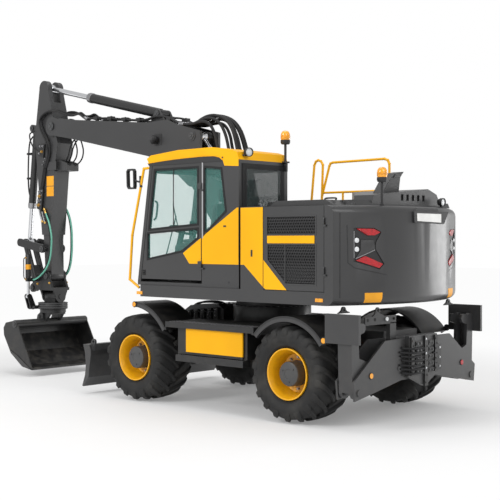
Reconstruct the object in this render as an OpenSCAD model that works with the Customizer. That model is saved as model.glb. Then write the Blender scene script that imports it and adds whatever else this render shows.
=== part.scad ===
// Wheeled excavator with a two-piece boom, a tilting rotating tool head,
// a dozer blade in front and folding stabilisers behind.
// Built about the slew axis, then moved so that the middle of its length is at zero.

/* [Wheels] */
// distance between the axles
wheelbase = 2630; // [2400:10:2900]
// tyre radius out to the lugs
tyre_radius = 565; // [520:5:600]
// tyre width
tyre_width = 600; // [500:10:620]
// distance between the tyre centres
track = 1940; // [1900:10:1980]
// radius of the rim under the bead
rim_radius = 286; // [260:2:310]
// lugs on each side of a tyre
lug_count = 18; // [14:1:20]
// height of a lug over the casing
lug_height = 38; // [30:1:42]
// kingpin distance from the middle
kingpin_y = 800; // [760:5:820]
// spindle radius that carries a wheel
spindle_radius = 100; // [80:2:110]

/* [Chassis] */
// half width of the main beam
beam_half = 340; // [280:5:350]
// underside of the main beam
beam_bottom = 780; // [770:5:820]
// top of the main beam
beam_top = 1040; // [1000:5:1060]
// slew ring radius
ring_radius = 510; // [460:5:560]
// radius of the slew journal
journal_radius = 260; // [200:5:320]
// outside of the side steps and fenders
step_out = 1250; // [1200:5:1255]
// fender gap over the front tyre
fender_gap = 147; // [120:1:165]

/* [Blade] */
// half width of the blade and of the whole machine
blade_half = 1270; // [1200:5:1275]
// blade hinge ahead of the slew axis
blade_pin_x = 1600; // [1570:5:1640]
// blade hinge height
blade_pin_z = 520; // [480:5:560]

/* [Stabilisers] */
// rear face of the stabiliser frame
stab_rear = 2280; // [2270:5:2310]
// leg pin distance from the middle
leg_pin_y = 1150; // [1120:5:1170]
// leg pin height
leg_pin_z = 430; // [410:5:450]

/* [House] */
// half width of the house
house_half = 1245; // [1200:5:1255]
// underside of the house
deck_bottom = 1370; // [1350:5:1400]
// top of the deck
deck_top = 1519; // [1500:1:1540]
// top of the side panels
panel_top = 2490; // [2400:5:2520]
// tail swing radius
tail_radius = 2350; // [2250:10:2450]
// depth of the grilles and of the rear lamp pockets
recess = 14; // [8:1:18]
// rounding of the tail's edges
tail_round = 90; // [40:5:95]
// cab wall on the boom side
cab_in = 335; // [330:1:360]
// cab wall on the outside
cab_out = 1220; // [1180:5:1225]
// top of the cab walls
cab_top = 3060; // [2950:5:3080]
// top of the cab roof
roof_top = 3230; // [3190:5:3260]

/* [Boom] */
// boom foot pin ahead of the slew axis
foot_x = 330; // [300:5:360]
// boom foot pin height
foot_z = 1850; // [1820:5:1880]
// knee pin ahead of the slew axis
knee_x = 1300; // [1270:5:1330]
// knee pin height
knee_z = 2980; // [2950:5:3010]
// arm pin ahead of the slew axis
arm_x = 4450; // [4400:5:4500]
// arm pin height
arm_z = 3880; // [3850:5:3910]
// half width of the outer boom
boom_half = 200; // [195:1:210]
// half width of the base boom
base_half = 150; // [145:1:155]
// half width of the arm
arm_half = 150; // [145:1:155]
// boom pin radius
pin_radius = 45; // [38:1:50]

/* [Tool] */
// bucket pin ahead of the slew axis
tip_x = 4640; // [4620:5:4660]
// bucket pin height
tip_z = 1530; // [1515:5:1545]
// tilt axis height
tilt_z = 1200; // [1190:5:1210]
// rotor axis ahead of the slew axis
rotor_x = 4685; // [4675:5:4695]
// bucket width
bucket_width = 1380; // [1100:10:1500]
// thickness of the bucket sheets
bucket_sheet = 18; // [14:1:24]

/* [Fits] */
// radial gap at pins
pin_gap = 0.08; // [0.03:0.01:0.1]
// gap between neighbouring panels
seam = 0.4; // [0.2:0.1:0.5]
// side gap between moving plates
side_gap = 8; // [6:0.5:9]

/* [Hidden] */
$fn = 64;
axle_x = wheelbase / 2;
casing = tyre_radius - lug_height;
wheel_z = tyre_radius;
wheel_y = track / 2;
step_front = axle_x - 625;
step_back = 535 - axle_x;
foot = [foot_x, foot_z];
knee = [knee_x, knee_z];
arm_pin = [arm_x, arm_z];
tip = [tip_x, tip_z];
blade_pin = [blade_pin_x, blade_pin_z];
blade_base = [blade_pin_x - 60, blade_pin_z + 380];
blade_eye = [blade_pin_x + 520, blade_pin_z];
lift_base = [1300, 1450];
lift_eye = [foot_x + 308, foot_z + 846];
adjust_base = [foot_x, foot_z + 570];
adjust_eye = [1301, 3530];
crowd_base = [2100, 3905];
crowd_eye = [arm_x + 265, arm_z + 630];
curl_base = [5090, 3900];
rock_arm = [tip_x + 60, tip_z + 430];
rock_out = [5300, 2060];
link_end = [tip_x + 360, tip_z - 200];
lid_pin = [-588, 1199];
leg_pin = [leg_pin_y, leg_pin_z];
leg_base = [395, 640];
leg_eye = [leg_pin_y - 134, leg_pin_z + 291];
leg_top = [leg_pin_y + 32, leg_pin_z + 700];
leg_mid = -(stab_rear - 128);
tilt_eye_y = 300;
tilt_eye_x = 4930;
front_reach = 5380;
rear_reach = stab_rear + 90;
middle_x = (front_reach - rear_reach) / 2;
cab_front = 1258;
cab_rear = -550;
lean = 0.15;
door_rear = 85;
bay_front = -600;
tail_corner = sqrt(tail_radius * tail_radius - house_half * house_half);
bay_rear = 123 - tail_corner;
hinge_out = 15;
hood_left = 850;
hood_right = 1085;
hood_pin = [-622, panel_top + 40];
hood_tail = bay_rear - 130;
hood_low = panel_top + 66;

yellow = [0.97, 0.72, 0.05];
grey = [0.29, 0.29, 0.30];
black = [0.10, 0.10, 0.11];
steel = [0.75, 0.76, 0.78];
glass = [0.35, 0.50, 0.48, 0.5];
amber = [0.95, 0.45, 0.05];
red = [0.80, 0.05, 0.08];

function gap_of(p, q) = norm(q - p);
function turn_of(p, q) = atan2(q[1] - p[1], q[0] - p[0]);
function on_line(p, q, a, n) = p + a * (q - p) / norm(q - p)
    + n * [-(q[1] - p[1]), q[0] - p[0]] / norm(q - p);
function front_at(z) = cab_front - (z - 1540) * lean;

module box(x0, x1, y0, y1, z0, z1) {
    translate([x0, y0, z0]) cube([x1 - x0, y1 - y0, z1 - z0]);
}
module both() {
    children();
    mirror([0, 1, 0]) children();
}
// outline in X and Z, from y0 to y1
module plate(y0, y1) {
    translate([0, y1, 0]) rotate([90, 0, 0]) linear_extrude(y1 - y0) children();
}
// outline in Y and Z, from x0 to x1
module slab(x0, x1) {
    translate([x0, 0, 0]) rotate([90, 0, 90]) linear_extrude(x1 - x0) children();
}
module bar_y(p, r, y0, y1) {
    translate([p[0], y1, p[1]]) rotate([90, 0, 0]) cylinder(r = r, h = y1 - y0);
}
module bar_x(y, z, r, x0, x1) {
    translate([x0, y, z]) rotate([0, 90, 0]) cylinder(r = r, h = x1 - x0);
}
module bar_z(x, y, r, z0, z1) {
    translate([x, y, z0]) cylinder(r = r, h = z1 - z0);
}
module dot(p, r) {
    translate(p) circle(r = r);
}
// two circles joined by their outer tangents
module bone(p, rp, q, rq) {
    d = norm(q - p);
    t = atan2(q[1] - p[1], q[0] - p[0]);
    a = acos((rp - rq) / d);
    dot(p, rp);
    dot(q, rq);
    polygon([
        p + rp * [cos(t + a), sin(t + a)],
        p + rp * [cos(t - a), sin(t - a)],
        q + rq * [cos(t - a), sin(t - a)],
        q + rq * [cos(t + a), sin(t + a)]]);
}
// round bar through a list of points
module rail(points, r) {
    for (i = [0 : len(points) - 2]) {
        d = points[i + 1] - points[i];
        translate(points[i]) rotate([0, acos(d[2] / norm(d)), atan2(d[1], d[0])])
            cylinder(r = r, h = norm(d), $fn = 24);
    }
    for (i = [1 : 1 : len(points) - 2]) translate(points[i]) sphere(r = r * 1.15, $fn = 24);
}
// cylinder parts lie in X and Z, y is their middle
module along(p, q, y) {
    translate([p[0], y, p[1]]) rotate([0, 90 - turn_of(p, q), 0]) children();
}
module barrel(r, rod, eye, pin, length, start) {
    difference() {
        union() {
            rotate([90, 0, 0]) cylinder(r = eye, h = 2 * r - 4, center = true);
            translate([0, 0, eye * 0.7]) cylinder(r = r, h = length - eye * 0.7);
        }
        rotate([90, 0, 0]) cylinder(r = pin + pin_gap, h = 4 * r, center = true);
        translate([0, 0, start]) cylinder(r = rod + pin_gap, h = length);
    }
}
module rod(r, eye, pin, wide, length, reach) {
    difference() {
        union() {
            translate([0, 0, reach]) rotate([90, 0, 0]) cylinder(r = eye, h = wide, center = true);
            translate([0, 0, reach - length]) cylinder(r = r, h = length - eye * 0.7);
        }
        translate([0, 0, reach]) rotate([90, 0, 0]) cylinder(r = pin, h = 2 * wide, center = true);
    }
}

// wheels
module tyre_casing() {
    w = tyre_width;
    rotate([90, 0, 0]) rotate_extrude($fn = 16) polygon([
        [rim_radius + seam, -w * 0.39], [rim_radius + 13, -w * 0.39], [rim_radius + 125, -w * 0.495],
        [casing, -w * 0.4], [casing, w * 0.4], [rim_radius + 125, w * 0.495],
        [rim_radius + 13, w * 0.39], [rim_radius + seam, w * 0.39]]);
}
// slanted lugs of one side, the other side sits half a pitch on
module tyre_lugs(side) {
    mirror([0, side, 0]) for (i = [0 : lug_count - 1])
        rotate([0, (i + side / 2) * 360 / lug_count, 0]) translate([0, 0, casing - 60])
            linear_extrude(lug_height + 80) polygon([
                [-28, -14], [28, -14], [250, tyre_width / 2], [175, tyre_width / 2]]);
}
module tyre() {
    color(black) {
        tyre_casing();
        intersection() {
            union() {
                tyre_lugs(0);
                tyre_lugs(1);
            }
            rotate([90, 0, 0]) cylinder(r = tyre_radius, h = tyre_width, center = true, $fn = 16);
        }
    }
}
// outer side faces +Y
module rim() {
    w = tyre_width * 0.39 + seam;
    s = spindle_radius + pin_gap;
    color(yellow) rotate([-90, 0, 0]) rotate_extrude() polygon([
        [s, -10], [150, -10], [rim_radius - 60, 20], [rim_radius - 16, 20],
        [rim_radius - 16, -w], [rim_radius - 8, -w - 14], [rim_radius + 12, -w - 14],
        [rim_radius + 12, -w], [rim_radius, -w],
        [rim_radius, w], [rim_radius + 12, w], [rim_radius + 12, w + 32],
        [rim_radius - 2, w + 32], [rim_radius - 22, w - 20], [rim_radius - 60, 60],
        [155, 45], [140, 60], [135, 150], [110, 190], [0, 200],
        [0, 130], [s, 130]]);
}
module wheel_at(x, side) {
    translate([x, side * wheel_y, wheel_z]) mirror([0, side < 0 ? 1 : 0, 0]) children();
}
module tyre_front_left() { wheel_at(axle_x, 1) tyre(); }
module tyre_front_right() { wheel_at(axle_x, -1) tyre(); }
module tyre_rear_left() { wheel_at(-axle_x, 1) tyre(); }
module tyre_rear_right() { wheel_at(-axle_x, -1) tyre(); }
module rim_front_left() { wheel_at(axle_x, 1) rim(); }
module rim_front_right() { wheel_at(axle_x, -1) rim(); }
module rim_rear_left() { wheel_at(-axle_x, 1) rim(); }
module rim_rear_right() { wheel_at(-axle_x, -1) rim(); }

module knuckle() {
    color(grey) translate([axle_x, 0, wheel_z]) {
        bar_z(0, kingpin_y, 92, -144, 144);
        bar_z(0, kingpin_y, 40, -205, 205);
        translate([0, kingpin_y, 0]) rotate([-90, 0, 0])
            cylinder(r = spindle_radius, h = wheel_y + 110 - kingpin_y);
        box(-60, 60, kingpin_y - 90, kingpin_y, -60, 60);
    }
}
module knuckle_left() { knuckle(); }
module knuckle_right() { mirror([0, 1, 0]) knuckle(); }

module front_axle() {
    color(black) difference() {
        union() {
            box(axle_x - 75, axle_x + 75, -610, 610, wheel_z - 85, wheel_z + 85);
            bar_y([axle_x, wheel_z], 175, -170, 170);
            box(axle_x - 130, axle_x + 130, -150, 150, wheel_z, beam_bottom);
            both() for (s = [-1, 1]) {
                translate([axle_x, 0, wheel_z + s * 170]) {
                    bar_z(0, kingpin_y, 72, -20, 20);
                    box(-72, 72, 600, kingpin_y, -20, 20);
                }
                box(axle_x - 72, axle_x + 72, 600, 640, wheel_z - 190, wheel_z + 190);
            }
        }
        both() bar_z(axle_x, kingpin_y, 40 + pin_gap, wheel_z - 300, wheel_z + 300);
    }
}
module rear_axle() {
    color(black) {
        bar_y([-axle_x, wheel_z], 92, -wheel_y + 20, wheel_y - 20);
        bar_y([-axle_x, wheel_z], spindle_radius, -wheel_y - 110, wheel_y + 110);
        bar_y([-axle_x, wheel_z], 185, -180, 180);
        box(-axle_x, -700, -180, 180, 420, 740);
        box(-axle_x - 130, -axle_x + 130, -260, 260, wheel_z, beam_bottom);
        bar_x(0, 600, 42, -720, axle_x - 175 - seam);
    }
}

module chassis_frame() {
    color(black) difference() {
        union() {
            box(-stab_rear + 255, blade_base[0] - 65, -beam_half, beam_half, beam_bottom, beam_top);
            bar_z(0, 0, ring_radius, beam_top - 20, deck_bottom - 116);
            bar_z(0, 0, ring_radius - 60, beam_bottom - 60, beam_top);
            both() {
                box(180, 320, beam_half - 20, 640, 830, 940);
                box(-420, -280, beam_half - 20, 640, 830, 940);
                plate(170, 240) {
                    bone(blade_pin, 80, [1420, 830], 90);
                }
                for (y = [100 - 72, 100 + 52]) plate(y, y + 20) bone(blade_base, 62, [1440, 900], 90);
                bar_y(blade_pin, 35, 200, 340);
                bar_y(blade_base, 28, 30, 170);
            }
        }
        bar_z(0, 0, journal_radius + pin_gap, beam_top, deck_bottom);
    }
}
module fenders() {
    color(black) both() {
        translate([axle_x, step_out, wheel_z]) rotate([90, 0, 0]) linear_extrude(step_out - 690)
            arc2(tyre_radius + fender_gap, tyre_radius + fender_gap + 23, 92, 146.5);
        box(step_front, step_front + 13, 690, step_out, wheel_z + 395, 1070);
        translate([-axle_x, step_out, wheel_z]) rotate([90, 0, 0]) linear_extrude(step_out - 690)
            arc2(tyre_radius + 78, tyre_radius + 100, 40, 145);
        box(step_back - 32, step_back, 690, step_out, 985, 1070);
    }
}
module arc2(r0, r1, a0, a1) {
    intersection() {
        difference() {
            circle(r = r1, $fn = 128);
            circle(r = r0, $fn = 128);
        }
        polygon([[0, 0], 2 * r1 * [cos(a0), sin(a0)],
            3 * r1 * [cos((a0 + a1) / 2), sin((a0 + a1) / 2)], 2 * r1 * [cos(a1), sin(a1)]]);
    }
}
module side_steps() {
    color(black) difference() {
        both() {
            box(step_back + seam, step_front - seam, 640, step_out, 1000, 1070);
            box(-650, 540, 640, 1180, 670, 1000);
            box(-620, 540, 1090, 1225, 580, 660);
            box(500, 540, 1090, 1180, 580, 700);
            box(-620, -580, 1090, 1180, 580, 700);
        }
        box(-570, 355, 700, 1300, 720, 985);
    }
    color(black) {
        bar_z(lid_pin[0], lid_pin[1], 6, 955, 1010);
        bar_z(lid_pin[0], lid_pin[1], 6, 690, 745);
        box(lid_pin[0] - 12, lid_pin[0] + 12, 1179, lid_pin[1] + 12, 676, 699);
    }
}
module toolbox_door() {
    color(yellow) difference() {
        union() {
            box(lid_pin[0], 365, lid_pin[1] - 13, lid_pin[1] + 13, 705, 994);
            bar_z(lid_pin[0], lid_pin[1], 13, 705, 994);
        }
        bar_z(lid_pin[0], lid_pin[1], 6 + pin_gap, 950, 1000);
        bar_z(lid_pin[0], lid_pin[1], 6 + pin_gap, 700, 750);
    }
}

module stab_plate2() {
    polygon([[-1220, 345], [-1245, 554], [-667, 970], [667, 970], [1245, 554], [1220, 345],
        [900, 400], [350, 500], [-350, 500], [-900, 400]]);
}
module stabiliser_frame() {
    color(black) {
        slab(-stab_rear, -stab_rear + 25) stab_plate2();
        slab(-stab_rear + 230, -stab_rear + 255) stab_plate2();
        box(-stab_rear, -stab_rear + 255, -330, 330, 520, 950);
        slab(-stab_rear - 55, -stab_rear + 1) polygon([[279, 1000], [-303, 1000], [-303, 540],
            [-55, 400], [277, 540]]);
        both() {
            bar_x(leg_pin[0], leg_pin[1], 38, -stab_rear - 12, -stab_rear + 267);
            bar_x(leg_base[0], leg_base[1], 28, -stab_rear - 8, -stab_rear + 262);
        }
    }
}
module leg() {
    x0 = -stab_rear + 33;
    x1 = -stab_rear + 222;
    color(black) difference() {
        union() {
            for (x = [x0, x1 - 42]) slab(x, x + 42) {
                bone(leg_pin, 72, leg_top, 62);
                bone(leg_eye, 50, [leg_pin_y + 15, leg_pin_z + 330], 60);
                bone([leg_pin_y - 110, leg_top[1]], 55, [leg_pin_y + 30, leg_top[1] - 30], 60);
            }
            slab(x0, x1) polygon([[leg_pin_y + 40, leg_pin_z], [leg_pin_y + 72, leg_pin_z],
                [leg_top[0] + 62, leg_top[1]], [leg_top[0] + 30, leg_top[1]]]);
            box(-stab_rear - 86, -stab_rear + 380, 1232, blade_half, 965, 1290);
        }
        bar_x(leg_pin[0], leg_pin[1], 38 + pin_gap, x0 - 50, x1 + 50);
    }
}
module stabiliser_leg_left() { leg(); }
module stabiliser_leg_right() { mirror([0, 1, 0]) leg(); }
// cylinder that lies across the machine
module across(p, q) {
    translate([leg_mid, p[0], p[1]]) rotate([0, 0, 90]) rotate([0, 90 - turn_of(p, q), 0]) children();
}
module leg_barrel() { color(grey) across(leg_base, leg_eye) barrel(46, 26, 46, 28, 574, 50); }
module leg_rod() {
    color(steel) across(leg_base, leg_eye) rod(26, 44, 22, 60, 571, gap_of(leg_base, leg_eye));
}
module stabiliser_barrel_left() { leg_barrel(); }
module stabiliser_barrel_right() { mirror([0, 1, 0]) leg_barrel(); }
module stabiliser_rod_left() { leg_rod(); }
module stabiliser_rod_right() { mirror([0, 1, 0]) leg_rod(); }

module dozer_blade() {
    color(black) difference() {
        union() {
            plate(-blade_half, blade_half) polygon([
                [2165, 540], [2165, 600], [2200, 680], [2330, 676], [2290, 560], [2272, 400],
                [2290, 260], [2352, 105], [2318, 100], [2215, 230], [2190, 400]]);
            both() {
                plate(250, 330) bone(blade_pin, 75, [2215, 400], 150);
                for (y = [100 - 72, 100 + 52]) plate(y, y + 20) bone(blade_eye, 55, [2215, 470], 100);
                translate([0, blade_half - 40, 0]) rotate([90, 0, 0]) linear_extrude(30)
                    difference() {
                        bone([2160, 715], 40, [2205, 600], 40);
                        dot([2160, 715], 20);
                    }
            }
        }
        both() bar_y(blade_pin, 35 + pin_gap, 200, 400);
    }
}
module blade_barrels() {
    color(grey) for (y = [-100, 100]) along(blade_base, blade_eye, y) barrel(50, 28, 48, 28, 500, 120);
}
module blade_rods() {
    color(steel) for (y = [-100, 100]) along(blade_base, blade_eye, y)
        rod(28, 38, 22, 76, 480, gap_of(blade_base, blade_eye));
}

// house
module upper_frame() {
    color(grey) {
        difference() {
            union() {
                translate([0, 0, deck_bottom]) linear_extrude(deck_top - deck_bottom) polygon([
                    [bay_rear, -house_half], [1180, -house_half], [1270, -house_half + 90],
                    [1270, house_half - 90], [1180, house_half], [bay_rear, house_half]]);
                bar_z(0, 0, ring_radius - 40, deck_bottom - 110, deck_top);
                bar_z(0, 0, journal_radius, beam_top + 60, deck_top);
            }
            box(1050, 1400, -325, 325, 1000, 3000);
        }
        both() {
            plate(base_half + side_gap, base_half + side_gap + 42) {
                bone(foot, 105, [foot_x - 60, deck_top + 20], 200);
                polygon([[foot_x - 380, deck_top - 40], [foot_x + 300, deck_top - 40],
                    [foot_x + 90, foot_z], [foot_x - 100, foot_z]]);
            }
            bar_y(foot, pin_radius, 0, base_half + side_gap + 60);
            for (y = [160, 300]) plate(y, y + 20) {
                bone(lift_base, 58, [1100, 1420], 45);
                polygon([[1000, 1375], [1100, 1375], [1100, 1465], [1000, 1500]]);
            }
            bar_y(lift_base, 40, 165, 326);
        }
        plate(-325, 325) polygon([[960, 1372], [1056, 1372], [1056, 1500], [960, 1515]]);
    }
}
module tail2() {
    r = tail_round;
    translate([0, deck_bottom]) square([tail_radius - r, panel_top - deck_bottom]);
    translate([0, deck_bottom + r]) square([tail_radius, panel_top - deck_bottom - 2 * r]);
    dot([tail_radius - r, deck_bottom + r], r);
    dot([tail_radius - r, panel_top - r], r);
}
// outline in Y and Z put on the round of the tail, from depth in to out
module on_tail(deep, out) {
    intersection() {
        slab(-tail_radius - 100, -1500) children();
        translate([0, 0, 1500]) difference() {
            cylinder(r = tail_radius + out, h = 900, $fn = 160);
            cylinder(r = tail_radius - deep, h = 900, $fn = 160);
        }
    }
}
module lamp_pocket2() {
    polygon([[1028, 1862], [1028, 2236], [785, 2236], [690, 2190], [765, 2060], [765, 2000],
        [650, 1832], [718, 1772]]);
}
module lamp_wedge2() {
    polygon([[947, 2100], [791, 2100], [774, 2038], [774, 1990], [1005, 1895], [947, 1981]]);
}
module lamp_high2() {
    polygon([[991, 2227], [791, 2225], [708, 2187], [780, 2153], [865, 2153]]);
}
module lamp_low2() {
    polygon([[1000, 1872], [896, 1923], [672, 1832], [722, 1787]]);
}
module counterweight() {
    color(grey) {
        both() for (z = [1700, 2250]) door_pin(house_half + hinge_out, bay_rear - 4, z, 5);
        difference() {
            intersection() {
                rotate_extrude($fn = 160) tail2();
                box(-3000, bay_rear - seam, -house_half, house_half, deck_bottom, panel_top);
            }
            both() on_tail(recess, 50) lamp_pocket2();
        }
        both() on_tail(recess + 10, -2) lamp_wedge2();
        box(-tail_radius - 8, -tail_radius + 60, -352, 157, 2300, 2400);
    }
}
module engine() {
    color(black) box(bay_rear + 190, -820, -480, 480, deck_top, 2330);
}
module side_panels() {
    color(grey) {
        both() box(-960, bay_front, house_half - 40, house_half, deck_top, panel_top);
        box(bay_front - 40, bay_front, -house_half + 20, house_half - 20, deck_top, panel_top);
        box(bay_front, -250, -house_half, -430, deck_top, 2420);
        difference() {
            box(-250, 1120, -house_half, -430, deck_top, 2330);
            box(760, 1200, -house_half - 10, -430 - 60, 1900, 2500);
            box(480, 1200, -house_half - 10, -430 - 60, 2140, 2500);
        }
        box(bay_rear, bay_front, hood_left + 6, house_half - 46, panel_top - 40, panel_top);
        box(bay_rear, bay_front, -house_half + 46, -hood_right - 6, panel_top - 40, panel_top);
        for (y = [-700, 500]) {
            bar_y(hood_pin, 12, y - 30, y + 120);
            plate(y - 30, y) bone(hood_pin, 20, [hood_pin[0], panel_top - 30], 20);
        }
    }
}
// pin and lug of a door hinge
module door_pin(y, x, z, r) {
    bar_z(x, y, r, z, z + 90);
    box(x - 6 * r, x - r, y - hinge_out - 1, y + r, z, z + 20);
    box(x - r - 1, x + r, y - r, y + r, z, z + 20);
}
// sleeve and tab of a door hinge
module door_sleeve(y, x, z, r) {
    difference() {
        union() {
            bar_z(x, y, r * 1.7, z + 26, z + 100);
            box(x + r, x + 6 * r, y - hinge_out - 1, y + r, z + 26, z + 100);
            box(x, x + 2 * r, y - r, y + r, z + 26, z + 100);
        }
        bar_z(x, y, r + pin_gap, z, z + 92);
    }
}
module cab_side2() {
    polygon([[cab_front, 1562], [front_at(cab_top), cab_top], [cab_rear, cab_top], [cab_rear, 1562]]);
}
module cab_shell() {
    color(grey) {
        box(cab_rear, cab_front, cab_in, cab_out, deck_top + seam, 1562 - seam);
        plate(cab_in, cab_in + 40) difference() {
            cab_side2();
            polygon([[front_at(2060) - 80, 2060], [front_at(2960) - 80, 2960],
                [cab_rear + 120, 2960], [cab_rear + 120, 2060]]);
        }
        plate(cab_out - 40, cab_out) difference() {
            intersection() {
                cab_side2();
                translate([-2000, 0]) square([2000 + door_rear - 10, 5000]);
            }
            polygon([[28, 2990], [-253, 2960], [-329, 2449], [28, 2185]]);
        }
        for (z = [1740, 2700]) door_pin(cab_out + hinge_out, door_rear - 5, z, 8);
        plate(cab_out - 40, cab_out) polygon([[cab_front, 1562], [front_at(cab_top), cab_top],
            [front_at(cab_top) - 55, cab_top], [cab_front - 55, 1562]]);
        difference() {
            box(cab_rear, cab_rear + 45, cab_in + 40 + seam, cab_out - 40 - seam, 1562, cab_top);
            box(cab_rear - 50, cab_rear + 100, cab_in + 130, cab_out - 130, 2340, 2960);
        }
        plate(cab_in + 40 + seam, cab_out - 40 - seam) polygon([[cab_front, 1562],
            [front_at(1720), 1720], [front_at(1720) - 50, 1720], [cab_front - 50, 1562]]);
        plate(cab_in + 40 + seam, cab_out - 40 - seam) polygon([[front_at(2960), 2960],
            [front_at(cab_top), cab_top], [front_at(cab_top) - 50, cab_top], [front_at(2960) - 50, 2960]]);
    }
}
module cab_roof() {
    color(yellow) {
        plate(cab_in - 5, cab_out + 5) polygon([
            [1020, cab_top + seam], [1078, roof_top - 85], [1000, roof_top - 45], [500, roof_top - 3],
            [-100, roof_top], [-400, roof_top - 40], [-520, roof_top - 75], [cab_rear, cab_top + seam]]);
        plate(cab_out + seam, cab_out + 5) polygon([[-270, cab_top + 45], [-315, cab_top - 65],
            [cab_rear + 2, cab_top - 80], [cab_rear + 2, cab_top + 20], [-520, cab_top + 45]]);
    }
}
module cab_glass() {
    color(glass) {
        plate(cab_in + 40 + seam, cab_out - 40 - seam) polygon([
            [front_at(1720 + seam) - 15, 1720 + seam], [front_at(2960 - seam) - 15, 2960 - seam],
            [front_at(2960 - seam) - 25, 2960 - seam], [front_at(1720 + seam) - 25, 1720 + seam]]);
        plate(cab_in + 12, cab_in + 22) polygon([
            [front_at(2060) - 80 - seam, 2060 + seam], [front_at(2960) - 80 - seam, 2960 - seam],
            [cab_rear + 120 + seam, 2960 - seam], [cab_rear + 120 + seam, 2060 + seam]]);
        plate(cab_out - 25, cab_out - 15) polygon([[28 - seam, 2990 - 2 * seam],
            [-253 + seam, 2960 - 2 * seam], [-329 + 2 * seam, 2449 + seam], [28 - seam, 2185 + 2 * seam]]);
        box(cab_rear + 15, cab_rear + 25, cab_in + 130 + seam, cab_out - 130 - seam,
            2340 + seam, 2960 - seam);
    }
}
module door2() {
    polygon([[door_rear, 1600], [front_at(1600) - 62, 1600], [front_at(3050) - 62, 3050], [door_rear, 3050]]);
}
module door_high2() {
    polygon([[150, 2300], [front_at(2240) - 115, 2240], [front_at(2990) - 115, 2990], [150, 2990]]);
}
module door_low2() {
    polygon([[150, 2130], [430, 1965], [1062, 1860], [1062, 2180], [150, 2236]]);
}
module cab_door() {
    color(grey) {
        plate(cab_out - 40, cab_out) difference() {
            door2();
            door_high2();
            door_low2();
        }
        for (z = [1740, 2700]) door_sleeve(cab_out + hinge_out, door_rear - 5, z, 8);
    }
}
module door_glass() {
    color(glass) plate(cab_out - 25, cab_out - 15) {
        polygon([[150 + seam, 2300 + seam], [front_at(2240) - 115 - seam, 2240 + seam],
            [front_at(2990) - 115 - seam, 2990 - seam], [150 + seam, 2990 - seam]]);
        polygon([[150 + seam, 2130 + seam], [430, 1965 + seam], [1062 - seam, 1860 + 2 * seam],
            [1062 - seam, 2180 - seam], [150 + seam, 2236 - 2 * seam]]);
    }
}
module cab_interior() {
    color(black) {
        box(200, 560, 620, 930, 1562, 1800);
        box(150, 660, 560, 990, 1800, 1920);
        plate(580, 970) polygon([[110, 1850], [230, 1900], [150, 2560], [50, 2560]]);
        for (y = [440, 1010]) box(260, 680, y, y + 100, 1860, 2060);
        box(300, 500, 440, 1110, 1800, 1870);
        bar_z(620, 490, 22, 2050, 2200);
        bar_z(620, 1060, 22, 2050, 2200);
        plate(745, 805) bone([1010, 1598], 36, [890, 2200], 30);
        translate([885, 775, 2215]) rotate([0, -18, 0]) cylinder(r = 185, h = 26);
    }
}
// grilles of the engine doors, seen from the left
module grille2() {
    high = panel_top - 120;
    low = deck_top + 81;
    rear = bay_rear + 122;
    polygon([[rear, high - 210], [-1022, high - 210], [-1022, high], [rear, high]]);
    polygon([[rear, low], [-1311, low], [-1030, low + 269], [-1030, high - 320], [rear, high - 320]]);
}
module service_door() {
    color(grey) {
        difference() {
            box(bay_rear + 6, -965, house_half - 40, house_half, deck_top + 6, panel_top - 6);
            plate(house_half - recess, house_half + 10) grille2();
        }
        plate(house_half - recess - 2, house_half - 6) intersection() {
            grille2();
            for (z = [deck_top + 100 : 34 : panel_top - 110]) translate([bay_rear, z])
                square([-bay_rear, 10]);
        }
        for (z = [1700, 2250]) door_sleeve(house_half + hinge_out, bay_rear - 4, z, 5);
    }
}
module service_door_left() { service_door(); }
module service_door_right() { mirror([0, 1, 0]) service_door(); }
// raised middle of the hood, as seen from behind and from above
module hood_rear2() {
    polygon([[560, panel_top + 10], [498, panel_top + 130], [-612, panel_top + 232],
        [-802, panel_top + 170], [-920, panel_top + 10]]);
}
module hood_plan2() {
    polygon([[hood_tail, 560], [bay_rear + 110, 560], [bay_rear + 470, 60], [bay_rear + 870, -400],
        [bay_rear + 870, -920], [hood_tail, -920]]);
}
module engine_hood() {
    color(grey) {
        plate(-hood_right, hood_left) polygon([[-650, panel_top + 6], [-690, hood_low],
            [hood_tail + 15, hood_low], [hood_tail - 10, panel_top + 6]]);
        plate(hood_left - 10, hood_left + 250) polygon([[-940, panel_top + 6], [-1030, hood_low],
            [bay_rear + 100, hood_low], [bay_rear - 10, panel_top + 6]]);
        difference() {
            intersection() {
                slab(hood_tail, bay_rear + 870) hood_rear2();
                linear_extrude(4000) hood_plan2();
            }
            for (i = [0 : 4]) box(hood_tail - 10, hood_tail + 25, -90 - 112 * i, -40 - 112 * i,
                panel_top + 78, panel_top + 152);
        }
        for (y = [-700, 500]) difference() {
            plate(y + 8, y + 112) bone(hood_pin, 22, [-665, hood_pin[1]], 22);
            bar_y(hood_pin, 12 + pin_gap, y - 60, y + 200);
        }
    }
    color(black) slab(bay_rear + 60, bay_rear + 200) polygon([[83, panel_top + 140],
        [-255, panel_top + 140], [-296, 2857], [-359, 2927], [-202, 2902], [-130, 2860], [-40, 2785]]);
}
module handrails() {
    color(yellow) {
        rail([[1047.4, cab_out - 20, 3030], [1120, house_half - 10, 3020], [1343, house_half - 5, 2160],
            [1392, house_half - 5, 1586], [1240, house_half - 35, 1480]], 17);
        y = 125 - house_half;
        rail([[290, y, 2330 + seam], [208, y, 3140], [180, y, 3190], [138, y, 3207], [90, y, 3190],
            [56, y, 3140], [85, y, 2330 + seam]], 17);
        rail([[75, y, 2690], [-60, y, 3120], [-80, y, 3152], [-120, y, 3163], [-985, y, 3171],
            [-1040, y, 3150], [-1065, y, 3100], [-1065, y, panel_top + seam]], 17);
        rail([[70, y, 2752], [-1065, y, 2752]], 15);
        rail([[-294, y, 2752], [-294, y, 2420 + seam]], 15);
    }
}
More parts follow.
